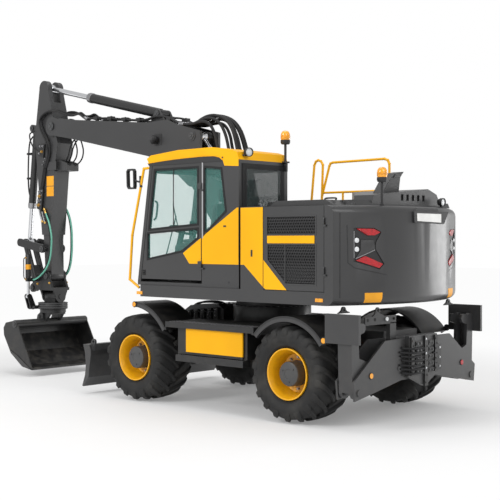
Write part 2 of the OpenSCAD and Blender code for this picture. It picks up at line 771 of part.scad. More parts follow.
module lamps_mirrors() {
    color(black) {
        plate(1190, 1262) difference() {
            polygon([[1290, 2740], [1440, 2760], [1460, 3020], [1300, 3040]]);
            polygon([[1325, 2790], [1405, 2800], [1420, 2980], [1330, 2995]]);
        }
        rail([[1186, 1236, 2850], [1300, 1225, 2850]], 14);
        bar_z(260 - tail_radius, -760, 14, panel_top + seam, 2530);
        bar_x(-760, 2562, 52, 215 - tail_radius, 300 - tail_radius);
    }
    color(red) both() on_tail(recess - seam, 4) {
        lamp_high2();
        lamp_low2();
    }
    color(steel) both() on_tail(recess - seam, 2) for (z = [1998, 2097]) dot([986, z], 36);
    color(amber) {
        bar_z(190 - tail_radius, 560, 18, panel_top + seam, 2760);
        bar_z(190 - tail_radius, 560, 60, 2750, 2930);
        bar_z(cab_rear - 22 - seam, 400, 22, 2900, 3320);
        bar_z(cab_rear - 22 - seam, 400, 60, 3300, 3460);
    }
}

// boom
module base2() {
    polygon([on_line(foot, knee, -60, 180), on_line(foot, knee, 380, 465), on_line(foot, knee, 900, 420),
        on_line(foot, knee, 1330, 200), on_line(foot, knee, 1489, 125), on_line(foot, knee, 1489, 0),
        on_line(foot, knee, 0, 0)]);
}
module base_boom() {
    color(grey) difference() {
        union() {
            plate(-base_half, base_half) bone(foot, 185, knee, 128);
            both() plate(88, base_half) base2();
            both() bar_y(lift_eye, 75, base_half - 20, base_half + 25);
            bar_y(adjust_base, 34, -base_half, base_half);
        }
        bar_y(foot, pin_radius + pin_gap, -400, 400);
        bar_y(knee, pin_radius + pin_gap, -400, 400);
    }
}
module lift_barrels() {
    color(grey) for (y = [-240, 240]) along(lift_base, lift_eye, y) barrel(56, 34, 54, 40, 900, 100);
}
module lift_rods() {
    color(steel) for (y = [-240, 240]) along(lift_base, lift_eye, y)
        rod(34, 58, 34, 100, 930, gap_of(lift_base, lift_eye));
}
module adjust_barrel() {
    color(grey) along(adjust_base, adjust_eye, 0) barrel(72, 42, 70, 34, 900, 160);
}
module adjust_rod() {
    color(steel) along(adjust_base, adjust_eye, 0) rod(42, 66, 36, 100, 900, gap_of(adjust_base, adjust_eye));
}
module outer_side2() {
    polygon([[1140, 3590], [1600, 3710], [1780, 3787], [2227, 3779], [3990, 3951], [4300, 3990],
        [4430, 4028], [arm_x + 60, arm_z + 136], arm_pin, [arm_x - 30, arm_z - 147], [4162, 3690],
        [3990, 3661], [2190, 3295], [1650, 3060], [knee_x + 90, knee_z - 118], knee,
        [knee_x - 147, knee_z + 30], [1140, 3300]]);
    dot(arm_pin, 150);
    dot(knee, 150);
}
module outer_boom() {
    inner = base_half + side_gap;
    color(grey) difference() {
        union() {
            both() plate(inner, boom_half) outer_side2();
            plate(-boom_half, boom_half) intersection() {
                outer_side2();
                translate([1530, 0]) square([4080 - 1530, 5000]);
            }
            both() bar_y(adjust_eye, 74, 58, boom_half + 8);
            bar_y(knee, pin_radius, -boom_half - 14, boom_half + 14);
            bar_y(arm_pin, pin_radius, -boom_half - 14, boom_half + 14);
            both() plate(80, 110) bone(crowd_base, 62, [2100, 3720], 160);
            bar_y(crowd_base, 36, -118, 118);
        }
    }
}
module arm_barrel() {
    color(grey) along(crowd_base, crowd_eye, 0) barrel(72, 42, 62, 36, 1690, 420);
}
module arm_rod() {
    color(steel) along(crowd_base, crowd_eye, 0) rod(42, 70, 40, 116, 1500, gap_of(crowd_base, crowd_eye));
}
module arm_side2() {
    polygon([[crowd_eye[0] - 100, crowd_eye[1]], [crowd_eye[0] + 115, crowd_eye[1] - 10], [4920, 3940],
        [4950, 3700], [4755, 2090], [tip_x + 78, tip_z + 40], tip, [tip_x - 82, tip_z + 20],
        [4570, 2100], [4460, 3150], [arm_x - 90, arm_z - 260], arm_pin, [arm_x + 40, arm_z + 180]]);
    dot(crowd_eye, 115);
    dot(arm_pin, 142);
    dot(tip, 86);
}
module dipper_arm() {
    color(grey) difference() {
        union() {
            plate(-arm_half, arm_half) intersection() {
                arm_side2();
                translate([3000, 2180]) square([3000, 4000]);
            }
            plate(-120, 120) intersection() {
                arm_side2();
                translate([3000, 1000]) square([3000, 1300]);
            }
            bar_y(rock_arm, 40, -212, 212);
            both() plate(70, 104) bone(curl_base, 60, [4850, 3800], 110);
            bar_y(curl_base, 34, -112, 112);
        }
        box(4300, 5200, -68, 68, 4280, 5000);
        bar_y(arm_pin, pin_radius + pin_gap, -400, 400);
        bar_y(tip, 40 + pin_gap, -400, 400);
    }
}
module bucket_barrel() {
    color(grey) along(curl_base, rock_out, 0) barrel(60, 36, 58, 34, 1290, 300);
}
module bucket_rod() {
    color(steel) along(curl_base, rock_out, 0) rod(36, 58, 34, 96, 1100, gap_of(curl_base, rock_out));
}
module rocker() {
    color(grey) both() difference() {
        union() {
            plate(178, 206) bone(rock_arm, 66, rock_out, 62);
            bar_y(rock_out, 36, 56, 206);
        }
        bar_y(rock_arm, 40 + pin_gap, 100, 300);
    }
}
module push_link() {
    color(grey) difference() {
        union() {
            both() plate(66, 98) bone(rock_out, 60, link_end, 56);
            plate(-90, 90) bone(on_line(rock_out, link_end, 430, 0), 30,
                on_line(rock_out, link_end, 560, 0), 30);
        }
        both() bar_y(rock_out, 36 + pin_gap, 50, 200);
        bar_y(link_end, 30, -200, 200);
    }
}
module tilt_frame() {
    color(grey) {
        both() {
            plate(128, 168) {
                bone(tip, 84, link_end, 68);
                polygon([[rotor_x - 205, tilt_z + 100], [rotor_x - 100, tip_z], tip, link_end,
                    [rotor_x + 205, tilt_z + 100]]);
            }
            bar_y(link_end, 50, 106, 176);
            box(rotor_x + 175, rotor_x + 205, 160, 370, 1440, 1495);
        }
        bar_y(tip, 40, -176, 176);
        box(rotor_x - 205, rotor_x + 125, -168, 168, tilt_z + 105, tilt_z + 145);
        for (x = [rotor_x - 205, rotor_x + 125]) slab(x, x + 40) {
            polygon([[-150, tilt_z + 145], [150, tilt_z + 145], [95, tilt_z], [-95, tilt_z]]);
            dot([0, tilt_z], 95);
        }
        bar_x(0, tilt_z, 40, rotor_x - 215, rotor_x + 175);
        both() difference() {
            union() {
                bar_z(tilt_eye_x, tilt_eye_y, 44, tilt_z + 238, tilt_z + 670);
                box(rotor_x + 195, tilt_eye_x, tilt_eye_y - 35, tilt_eye_y + 35, 1420 + 20, 1475);
            }
            bar_z(tilt_eye_x, tilt_eye_y, 24 + pin_gap, tilt_z + 200, tilt_z + 655);
        }
    }
}
module tilt_rod() {
    color(steel) difference() {
        union() {
            bar_x(tilt_eye_y, tilt_z, 38, tilt_eye_x - 20, tilt_eye_x + 20);
            bar_z(tilt_eye_x, tilt_eye_y, 24, tilt_z + 20, tilt_z + 452);
        }
        bar_x(tilt_eye_y, tilt_z, 18, tilt_eye_x - 50, tilt_eye_x + 50);
    }
}
module tilt_rod_left() { tilt_rod(); }
module tilt_rod_right() { mirror([0, 1, 0]) tilt_rod(); }
module rotor_housing() {
    color(grey) difference() {
        union() {
            bar_x(0, tilt_z, 88, rotor_x - 157, rotor_x + 117);
            box(rotor_x - 157, rotor_x + 117, -80, 80, tilt_z - 110, tilt_z);
            bar_z(rotor_x, 0, 230, tilt_z - 200, tilt_z - 101);
            both() {
                for (x = [tilt_eye_x - 48, tilt_eye_x + 28]) slab(x, x + 20)
                    bone([tilt_eye_y, tilt_z], 40, [tilt_eye_y - 60, tilt_z - 160], 50);
            }
            box(rotor_x + 120, tilt_eye_x + 48, -270, 270, tilt_z - 198, tilt_z - 150);
        }
        bar_x(0, tilt_z, 40 + pin_gap, rotor_x - 400, rotor_x + 400);
        bar_z(rotor_x, 0, 60 + pin_gap, tilt_z - 300, tilt_z - 110);
    }
}
module tool_coupler() {
    color(black) {
        bar_z(rotor_x, 0, 205, tilt_z - 256, tilt_z - 206);
        bar_z(rotor_x, 0, 60, tilt_z - 256, tilt_z - 118);
    }
}
module bucket_out2() {
    polygon([[4290, 105], [4540, 140], [4850, 330], [5030, 600], [5045, 715], [4985, 800],
        [4744, 845], [4690, 800]]);
}
module bucket_in2() {
    polygon([[4200, 105 + bucket_sheet], [4536, 142 + bucket_sheet], [4838, 344 + bucket_sheet * 0],
        [5030 - bucket_sheet, 606], [5044 - bucket_sheet, 708], [4976, 800 - bucket_sheet],
        [4744, 843 - bucket_sheet], [4690, 790], [4400, 790]]);
}
module bucket() {
    h = bucket_width / 2;
    color(grey) {
        plate(-h, h) difference() {
            bucket_out2();
            bucket_in2();
        }
        both() plate(h - bucket_sheet, h) polygon([[4290, 105], [4540, 140], [4850, 330], [5030, 600],
            [5045, 715], [4985, 800], [4744, 845], [4680, 790]]);
        bar_y([4735, 785], 58, -h, h);
        plate(-150, -110) polygon([[4560, tilt_z - 256], [4830, tilt_z - 256], [4900, 815], [4690, 790]]);
        plate(110, 150) polygon([[4560, tilt_z - 256], [4830, tilt_z - 256], [4900, 815], [4690, 790]]);
        box(4560, 4830, -150, 150, tilt_z - 286, tilt_z - 256);
    }
}

module whole() {
    translate([-middle_x, 0, 0]) children();
}
whole() chassis_frame();
whole() front_axle();
whole() rear_axle();
whole() fenders();
whole() side_steps();
whole() stabiliser_frame();
whole() toolbox_door();
whole() knuckle_left();
whole() knuckle_right();
whole() tyre_front_left();
whole() tyre_front_right();
whole() tyre_rear_left();
whole() tyre_rear_right();
whole() rim_front_left();
whole() rim_front_right();
whole() rim_rear_left();
whole() rim_rear_right();
whole() dozer_blade();
whole() blade_barrels();
whole() blade_rods();
whole() stabiliser_leg_left();
whole() stabiliser_leg_right();
whole() stabiliser_barrel_left();
whole() stabiliser_barrel_right();
whole() stabiliser_rod_left();
whole() stabiliser_rod_right();
whole() upper_frame();
whole() counterweight();
whole() engine();
whole() side_panels();
whole() cab_shell();
whole() cab_roof();
whole() cab_glass();
whole() cab_interior();
whole() handrails();
whole() lamps_mirrors();
whole() cab_door();
whole() door_glass();
whole() service_door_left();
whole() service_door_right();
whole() engine_hood();
whole() base_boom();
whole() lift_barrels();
whole() lift_rods();
whole() adjust_barrel();
whole() adjust_rod();
whole() outer_boom();
whole() arm_barrel();
whole() arm_rod();
whole() dipper_arm();
whole() bucket_barrel();
whole() bucket_rod();
whole() rocker();
whole() push_link();
whole() tilt_frame();
whole() tilt_rod_left();
whole() tilt_rod_right();
whole() rotor_housing();
whole() tool_coupler();
whole() bucket();
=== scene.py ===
import math

import bmesh
import bpy
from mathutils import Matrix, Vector


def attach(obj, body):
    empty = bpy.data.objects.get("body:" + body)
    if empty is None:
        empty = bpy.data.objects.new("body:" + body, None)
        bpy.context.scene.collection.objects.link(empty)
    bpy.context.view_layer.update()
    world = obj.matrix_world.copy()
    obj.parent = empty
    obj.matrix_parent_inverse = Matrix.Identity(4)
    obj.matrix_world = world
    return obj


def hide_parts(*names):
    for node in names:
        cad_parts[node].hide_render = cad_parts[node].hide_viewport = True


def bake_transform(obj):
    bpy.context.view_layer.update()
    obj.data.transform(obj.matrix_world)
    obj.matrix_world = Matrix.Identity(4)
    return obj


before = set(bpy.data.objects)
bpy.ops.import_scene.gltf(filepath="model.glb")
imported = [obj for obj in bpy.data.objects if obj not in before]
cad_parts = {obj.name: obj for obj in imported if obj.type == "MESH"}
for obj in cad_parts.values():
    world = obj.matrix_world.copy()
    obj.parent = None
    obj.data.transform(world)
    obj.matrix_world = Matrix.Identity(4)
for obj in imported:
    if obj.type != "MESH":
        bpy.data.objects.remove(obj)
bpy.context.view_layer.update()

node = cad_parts
slewX = -1.505  # the slew axis in the row frame; pieces are written from that axis, in metres
axleX, axleZ = 1.315, 0.565  # both axles stand this far from the slew axis, and this high
sides = ((1, "left"), (-1, "right"))
acrossY, alongX, upZ = (0, 1, 0), (1, 0, 0), (0, 0, 1)
backX = (-1, 0, 0)
print("frame loaded", len(node), "nodes")


def row(p):
    return Vector((p[0] + slewX, p[1], p[2]))


# shader building

class Val:
    def __init__(self, nodes, socket):
        self.nodes, self.socket = nodes, socket

    def calc(self, kind, *others): return self.nodes.maths(kind, self, *others)

    def __add__(self, o): return self.calc("ADD", o)
    def __radd__(self, o): return self.calc("ADD", o)
    def __sub__(self, o): return self.calc("SUBTRACT", o)
    def __rsub__(self, o): return self.nodes.maths("SUBTRACT", o, self)
    def __mul__(self, o): return self.calc("MULTIPLY", o)
    def __rmul__(self, o): return self.calc("MULTIPLY", o)
    def __pow__(self, o): return self.calc("POWER", o)
    def __rpow__(self, o): return self.nodes.maths("POWER", o, self)
    def __lt__(self, o): return self.calc("LESS_THAN", o)
    def __gt__(self, o): return self.calc("GREATER_THAN", o)
    def __abs__(self): return self.calc("ABSOLUTE")

    def limit(self):
        return self.nodes.node("ShaderNodeClamp", {}, {0: self, 1: 0.0, 2: 1.0})

    def ease(self, low, high):
        return self.nodes.node("ShaderNodeMapRange", {"interpolation_type": "SMOOTHSTEP"},
                               {0: self, 1: low, 2: high})


class Nodes:
    def __init__(self, tree):
        self.tree = tree
        tree.nodes.clear()

    def feed(self, socket, value):
        if isinstance(value, Val):
            self.tree.links.new(value.socket, socket)
        elif hasattr(socket.default_value, "__len__") and not hasattr(value, "__len__"):
            socket.default_value = [value] * len(socket.default_value)
        elif hasattr(value, "__len__") and len(value) == 3 and len(socket.default_value) == 4:
            socket.default_value = (*value, 1.0)
        else:
            socket.default_value = value

    def node(self, kind, settings, inputs, out=0):
        made = self.tree.nodes.new(kind)
        for key, value in settings.items():
            setattr(made, key, value)
        for key, value in inputs.items():
            self.feed(made.inputs[key], value)
        return Val(self, made.outputs[out]) if len(made.outputs) else made

    def maths(self, kind, *values):
        return self.node("ShaderNodeMath", {"operation": kind}, dict(enumerate(values)))


class Finish(Nodes):
    def __init__(self, name):
        self.mat = bpy.data.materials.new(name)
        self.mat.use_nodes = True
        super().__init__(self.mat.node_tree)
        self.surface = self.node("ShaderNodeBsdfPrincipled", {}, {})
        self.bsdf = self.surface.socket.node
        self.out = self.node("ShaderNodeOutputMaterial", {}, {0: self.surface})

    def place(self):
        return self.node("ShaderNodeTexCoord", {}, {}, "Object")

    def parts(self, vector):
        made = self.node("ShaderNodeSeparateXYZ", {}, {0: vector})
        return [Val(self, made.socket.node.outputs[i]) for i in range(3)]

    def noise(self, scale, detail=3.0):
        return self.node("ShaderNodeTexNoise", {}, {"Vector": self.place(), "Scale": scale, "Detail": detail,
                                                    "Roughness": 0.55})

    def mix(self, a, b, share):
        return self.node("ShaderNodeMix", {"data_type": "RGBA"}, {0: share, 6: a, 7: b}, 2)

    def facing(self):
        return self.parts(self.node("ShaderNodeNewGeometry", {}, {}, "Normal"))[2]

    def edge(self, width):
        soft = self.node("ShaderNodeBevel", {"samples": 4}, {"Radius": width})
        hard = self.node("ShaderNodeNewGeometry", {}, {}, "True Normal")
        match = self.node("ShaderNodeVectorMath", {"operation": "DOT_PRODUCT"}, {0: soft, 1: hard}, "Value")
        return (1 - match).ease(0.015, 0.22)

    def bump(self, height, depth, strength):
        self.feed(self.bsdf.inputs["Normal"], self.node("ShaderNodeBump", {},
            {"Height": height, "Distance": depth, "Strength": strength}))

    def give(self, **sockets):
        for key, value in sockets.items():
            self.feed(self.bsdf.inputs[key.replace("_", " ")], value)
        return self.mat


def paintFinish(name, colour, rough, coat, edgeHighlightAndWear, dust, shine=0.5):
    f = Finish(name)
    grit = f.noise(9.0, 5.0)
    broad = f.noise(0.9, 2.0)
    height = f.parts(f.place())[2]
    settled = (f.facing() * 0.6 + (1.25 - height) * 0.55).limit() * grit.ease(0.38, 0.72) * dust
    # the edges turn a lighter colour: partly wear, partly a painted highlight along the edges
    edgeHighlightAndWearMask = f.edge(0.007) * grit.ease(0.35, 0.65) * edgeHighlightAndWear
    dark = [c * 0.9 for c in colour]
    pale = [min(1.0, c * 1.05) for c in colour]
    highlightAndChip = [min(1.0, c * 1.25 + 0.05) for c in colour]
    base = f.mix(f.mix(f.mix(dark, pale, broad.ease(0.3, 0.7)), highlightAndChip, edgeHighlightAndWearMask), (0.30, 0.27, 0.22), settled)
    peel = f.noise(260.0, 2.0)
    f.bump(peel * 0.5 + grit * 0.5, 0.0006, 0.35)
    return f.give(Base_Color=base, Roughness=(grit - 0.5) * 0.16 + settled * 0.5 + rough,
                  Coat_Weight=(1 - settled * 2.0).limit() * coat,
                  Coat_Roughness=0.12, Specular_IOR_Level=shine)


def rubberFinish(name, colour, dust):
    f = Finish(name)
    grit = f.noise(30.0, 5.0)
    broad = f.noise(3.0, 3.0)
    scuff = broad.ease(0.45, 0.75) * dust
    base = f.mix(f.mix([c * 0.75 for c in colour], [c * 1.3 for c in colour], grit), (0.16, 0.15, 0.13), scuff)
    f.bump(grit, 0.0015, 0.5)
    return f.give(Base_Color=base, Roughness=grit * 0.2 + 0.58, Specular_IOR_Level=0.35)


def plasticFinish(name, colour, rough, grain):
    f = Finish(name)
    pebble = f.node("ShaderNodeTexVoronoi", {}, {"Vector": f.place(), "Scale": grain})
    cloud = f.noise(4.0, 4.0)
    base = f.mix([c * 0.8 for c in colour], [c * 1.2 for c in colour], cloud)
    f.bump(pebble, 0.0006, 0.4)
    return f.give(Base_Color=base, Roughness=cloud * 0.15 + rough)


def metalFinish(name, colour, rough, smear):
    f = Finish(name)
    lines = f.noise(90.0, 3.0)
    film = f.noise(6.0, 4.0).ease(0.45, 0.75) * smear
    f.bump(lines, 0.0003, 0.25)
    return f.give(Base_Color=f.mix(colour, [c * 0.55 for c in colour], film), Metallic=1 - film * 0.3,
                  Roughness=lines * 0.08 + film * 0.25 + rough)


def lampFinish(name, colour, paintedGlow):
    f = Finish(name)
    x, y, z = f.parts(f.place())
    ribs = ((x + y * 0.7 + z * 0.9) * 420.0).calc("SINE")
    cloud = f.noise(24.0, 3.0)
    base = f.mix([c * 0.7 for c in colour], colour, cloud.ease(0.3, 0.6))
    f.bump(ribs, 0.0008, 0.4)
    # the faint emission is a painted glow, not a lit lamp; the reflectors that use these finishes glow too
    return f.give(Base_Color=base, Roughness=cloud * 0.12 + 0.12, Coat_Weight=0.6, Emission_Color=base,
                  Emission_Strength=paintedGlow)


def glassFinish(name, colour, cover):
    f = Finish(name)
    haze = f.noise(2.5, 4.0)
    base = f.mix([c * 0.8 for c in colour], colour, haze)
    f.mat.surface_render_method = "BLENDED"
    return f.give(Base_Color=base, Roughness=haze * 0.05 + 0.03, Alpha=haze * 0.06 + cover, Coat_Weight=0.5,
                  Coat_Roughness=0.02)


def fabricFinish(name, colour):
    f = Finish(name)
    x, y, z = f.parts(f.place())
    weave = ((x * 1900.0).calc("SINE") + (y * 1900.0 + z * 1300.0).calc("SINE")) * 0.25 + 0.5
    cloud = f.noise(7.0, 4.0)
    base = f.mix([c * 0.65 for c in colour], [c * 1.25 for c in colour], cloud * 0.6 + weave * 0.4)
    f.bump(weave, 0.0012, 0.5)
    return f.give(Base_Color=base, Roughness=cloud * 0.1 + 0.8, Sheen_Weight=0.25)


def rimFinish(name, colour, hub):
    f = Finish(name)
    x, y, z = f.parts(f.place())
    across = abs(x - slewX) - axleX
    radius = (across * across + (z - axleZ) * (z - axleZ)) ** 0.5
    isHub = radius < 0.147
    grit = f.noise(14.0, 5.0)
    # darker brown towards the hub, deep in the dish: partly dirt, partly painted shade
    grimeAndShade = grit.ease(0.42, 0.7) * (0.33 - radius).ease(0.02, 0.16) * 0.5
    painted = f.mix([c * 0.88 for c in colour], colour, f.noise(2.0))
    painted = f.mix(painted, (0.24, 0.08, 0.01), grimeAndShade)
    cast = f.mix([c * 0.7 for c in hub], [c * 1.3 for c in hub], grit)
    f.bump(grit, 0.0012, 0.35)
    return f.give(Base_Color=f.mix(painted, cast, isHub), Roughness=grit * 0.2 + isHub * 0.15 + 0.32,
                  Coat_Weight=0.15)


colours = {
    "yellow": (0.90, 0.435, 0.002),
    "grey": (0.032, 0.032, 0.033),
    "black": (0.011, 0.011, 0.0115),
    "rubber": (0.015, 0.015, 0.015),
    "amber": (0.95, 0.38, 0.01),
    "red": (0.46, 0.002, 0.008),
    "glass": (0.19, 0.52, 0.46),
    "green": (0.13, 0.42, 0.31),
}
yellowPaint = paintFinish("yellowPaint", colours["yellow"], 0.46, 0.05, 0.08, 0.03, 0.18)
greyPaint = paintFinish("greyPaint", colours["grey"], 0.42, 0.2, 0.25, 0.10)
blackPaint = paintFinish("blackPaint", colours["black"], 0.46, 0.12, 0.3, 0.14)
railPaint = paintFinish("railPaint", (0.86, 0.42, 0.006), 0.40, 0.08, 0.15, 0.04, 0.25)
tyreRubber = rubberFinish("tyreRubber", colours["rubber"], 0.16)
hoseRubber = rubberFinish("hoseRubber", (0.012, 0.012, 0.013), 0.08)
sealRubber = rubberFinish("sealRubber", (0.010, 0.010, 0.011), 0.03)
trimPlastic = plasticFinish("trimPlastic", (0.018, 0.018, 0.019), 0.5, 700.0)
meshBlack = plasticFinish("meshBlack", (0.012, 0.012, 0.013), 0.45, 500.0)
# a near-black that paints the shade in slots, holes, recesses, panel gaps and behind the grilles
cavityBlack = plasticFinish("cavityBlack", (0.005, 0.005, 0.005), 0.7, 300.0)
greenHose = plasticFinish("greenHose", colours["green"], 0.32, 260.0)
chrome = metalFinish("chrome", (0.78, 0.79, 0.81), 0.12, 0.3)
steel = metalFinish("steel", (0.34, 0.34, 0.35), 0.34, 0.5)
brass = metalFinish("brass", (0.72, 0.45, 0.12), 0.3, 0.4)
castGrey = paintFinish("castGrey", (0.055, 0.056, 0.058), 0.5, 0.05, 0.3, 0.12)
# the last value of each lens is its painted glow
amberLens = lampFinish("amberLens", colours["amber"], 0.06)
redLens = lampFinish("redLens", colours["red"], 0.03)
clearLens = lampFinish("clearLens", (0.72, 0.74, 0.75), 0.05)
tintGlass = glassFinish("tintGlass", colours["glass"], 0.12)
rearGlass = glassFinish("rearGlass", (0.05, 0.06, 0.06), 0.55)
seatCloth = fabricFinish("seatCloth", (0.035, 0.038, 0.042))
wheelPaint = rimFinish("wheelPaint", colours["yellow"], (0.06, 0.06, 0.062))
signOrange = plasticFinish("signOrange", (0.84, 0.36, 0.006), 0.5, 900.0)
signWhite = plasticFinish("signWhite", (0.74, 0.74, 0.72), 0.35, 900.0)
# a bright metal put where highlights and glints are painted: the door seam strip and some valve bolts
metalBright = metalFinish("metalBright", (0.62, 0.63, 0.64), 0.25, 0.2)
print("finishes made", len(bpy.data.materials))


# mesh building, all from the slew axis in metres

def upright(flat, axis):
    # outlines are drawn in two directions; the third value runs along the axis
    order = {"x": (1, 2, 0), "y": (0, 2, 1), "z": (0, 1, 2)}[axis]
    return [tuple(v[order.index(i)] for i in range(3)) for v in flat]


def around(count, start=0.0):
    return [2 * math.pi * (i + start) / count for i in range(count)]


class Shape:
    def __init__(self):
        self.verts, self.faces = [], []

    def add(self, verts, faces):
        start = len(self.verts)
        self.verts += [tuple(v) for v in verts]
        self.faces += [tuple(i + start for i in f) for f in faces]
        return self

    def prism(self, outline, low, high, axis):
        n = len(outline)
        verts = upright([(a, b, low) for a, b in outline] + [(a, b, high) for a, b in outline], axis)
        faces = [tuple(reversed(range(n))), tuple(range(n, 2 * n))]
        faces += [(i, (i + 1) % n, n + (i + 1) % n, n + i) for i in range(n)]
        return self.add(verts, faces)

    def plate(self, outline, y0, y1): return self.prism(outline, y0, y1, "y")

    def slab(self, outline, x0, x1): return self.prism(outline, x0, x1, "x")

    def block(self, x0, x1, y0, y1, z0, z1):
        return self.prism([(x0, y0), (x1, y0), (x1, y1), (x0, y1)], z0, z1, "z")

    def lathe(self, profile, at, axis, count=40):
        way = Vector(axis).normalized()
        side = way.orthogonal().normalized()
        other = way.cross(side)
        verts, faces, m = [], [], len(profile)
        for a in around(count):
            out = side * math.cos(a) + other * math.sin(a)
            verts += [Vector(at) + out * r + way * h for r, h in profile]
        for i in range(count):
            j = (i + 1) % count
            faces += [(i * m + k, j * m + k, j * m + k + 1, i * m + k + 1) for k in range(m - 1)]
        return self.add(verts, faces)

    def disc(self, r, h, at, axis, count=32, edge=0.15):
        e = min(r, h) * edge
        return self.lathe([(0.0001, 0), (r - e, 0), (r, e), (r, h - e), (r - e, h), (0.0001, h)], at, axis,
                          count)

    def nut(self, at, axis, r, h):
        return self.lathe([(0.0001, 0), (r * 1.35, 0), (r * 1.35, h * 0.18), (r, h * 0.2), (r, h * 0.85),
                           (r * 0.8, h), (0.0001, h)], at, axis, 6)

    def tube(self, points, radius, count=10, fine=8):
        path = smoothPath(points, fine)
        rings, n = [], len(path)
        way = (path[1] - path[0]).normalized()
        side = way.orthogonal().normalized()
        for i, p in enumerate(path):
            way = (path[min(i + 1, n - 1)] - path[max(i - 1, 0)]).normalized()
            side = (side - way * side.dot(way)).normalized()
            other = way.cross(side)
            rings += [p + (side * math.cos(a) + other * math.sin(a)) * radius for a in around(count)]
        faces = [(i * count + k, i * count + (k + 1) % count, (i + 1) * count + (k + 1) % count,
                  (i + 1) * count + k)
                 for i in range(n - 1) for k in range(count)]
        faces += [tuple(reversed(range(count))), tuple(range((n - 1) * count, n * count))]
        return self.add(rings, faces)

    def twin(self):
        count = len(self.verts)
        self.verts += [(x, -y, z) for x, y, z in self.verts]
        self.faces += [tuple(reversed([i + count for i in f])) for f in self.faces]
        return self

    def piece(self, name, mat, body=None, bevel=0.0, sharp=35.0, slot=None):
        mesh = bpy.data.meshes.new(name)
        mesh.from_pydata([row(v) for v in self.verts], [], self.faces)
        shell = bmesh.new()
        shell.from_mesh(mesh)
        bmesh.ops.recalc_face_normals(shell, faces=shell.faces)
        shell.to_mesh(mesh)
        shell.free()
        mesh.shade_smooth()
        mesh.set_sharp_from_angle(angle=math.radians(sharp))
        mesh.materials.append(mat)
        made = bpy.data.objects.new(name, mesh)
        bpy.context.scene.collection.objects.link(made)
        if bevel:
            soften(made, bevel)
        if body:
            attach(made, body)
        return made


def smoothPath(points, fine):
    p = [Vector(q) for q in points]
    if len(p) == 2 or fine < 2:
        return p
    p = [p[0] * 2 - p[1]] + p + [p[-1] * 2 - p[-2]]
    path = []
    for i in range(1, len(p) - 2):
        for k in range(fine):
            t = k / fine
            a, b, c, d = p[i - 1], p[i], p[i + 1], p[i + 2]
            bend, twist = 2 * a - 5 * b + 4 * c - d, 3 * b - a - 3 * c + d
            path.append(0.5 * ((2 * b) + (c - a) * t + bend * t * t + twist * t ** 3))
    return path + [p[-2]]


def soften(obj, width):
    edge = obj.modifiers.new("roundedEdges", "BEVEL")
    edge.width, edge.segments, edge.limit_method = width, 2, "ANGLE"
    edge.angle_limit = math.radians(32)
    edge.harden_normals = True
    edge.use_clamp_overlap = True


def dress(name, mat, bevel=0.0):
    obj = node[name]
    obj.data.materials.clear()
    obj.data.materials.append(mat)
    if bevel:
        weld = obj.modifiers.new("joinedCorners", "WELD")
        weld.merge_threshold = 0.00005
        soften(obj, bevel)


# camera, floor and light

stage = {"lens": 78.36, "at": (-9.4329, 10.6428, 2.1071), "yaw": -47.278, "pitch": -0.557, "floor": 0.82,
         "sky": 0.62}
# place, aim, size and power of each lamp
stageLamps = {"keyLamp": ((2.0, 14.0, 9.0), (0, 0, 1.5), 6.0, 1150.0),
              "rearLamp": ((-13.0, 3.0, 8.0), (-1, 0, 1.5), 6.0, 430.0),
              "topLamp": ((0.0, 0.0, 13.0), (0, 0, 0), 8.0, 500.0),
              "sideLamp": ((-6.4, -11.0, 2.4), (-3.0, 0, 1.9), 4.5, 330.0)}


def buildCamera():
    cam = bpy.data.objects.new("photoCamera", bpy.data.cameras.new("photoCamera"))
    bpy.context.scene.collection.objects.link(cam)
    yaw, pitch = math.radians(stage["yaw"]), math.radians(stage["pitch"])
    look = Vector((math.cos(yaw) * math.cos(pitch), math.sin(yaw) * math.cos(pitch), math.sin(pitch)))
    cam.location = row(stage["at"])
    cam.rotation_mode = "QUATERNION"
    cam.rotation_quaternion = look.to_track_quat("-Z", "Y")
    cam.data.lens, cam.data.sensor_width = stage["lens"], 36.0
    cam.data.clip_start, cam.data.clip_end = 0.1, 300.0
    bpy.context.scene.camera = cam


def buildFloor():
    f = Finish("floorPale")
    speck = f.noise(3.0, 4.0)
    pale = stage["floor"]
    f.give(Base_Color=f.mix([pale * 0.98] * 3, [pale] * 3, speck), Roughness=speck * 0.1 + 0.8)
    x, y, z = f.parts(f.place())
    away = ((x * x + y * y) ** 0.5).ease(4.5, 9.0)  # the floor keeps the shadow near the machine
    white = f.node("ShaderNodeEmission", {}, {"Color": (1.0, 1.0, 1.0), "Strength": 1.0})
    both = f.node("ShaderNodeMixShader", {}, {0: away * 0.75 + 0.2, 1: f.surface, 2: white})
    f.feed(f.out.inputs[0], both)
    far, low = 60, -0.001
    sheet = bpy.data.meshes.new("floor")
    sheet.from_pydata([(-far, -far, low), (far, -far, low), (far, far, low), (-far, far, low)], [],
                      [(0, 1, 2, 3)])
    sheet.materials.append(f.mat)
    floor = bpy.data.objects.new("floor", sheet)
    bpy.context.scene.collection.objects.link(floor)


def buildSky():
    world = bpy.data.worlds.new("studio")
    bpy.context.scene.world = world
    world.use_nodes = True
    sky = Nodes(world.node_tree)
    camera, through = (sky.node("ShaderNodeLightPath", {}, {}, ray)
                       for ray in ("Is Camera Ray", "Is Transmission Ray"))
    soft, bright = (sky.node("ShaderNodeBackground", {}, {0: (1, 1, 1), 1: level})
                    for level in (stage["sky"], 1.0))
    both = sky.node("ShaderNodeMixShader", {}, {0: camera.calc("MAXIMUM", through), 1: soft, 2: bright})
    sky.node("ShaderNodeOutputWorld", {}, {0: both})
    bpy.context.scene.view_settings.view_transform = "Standard"


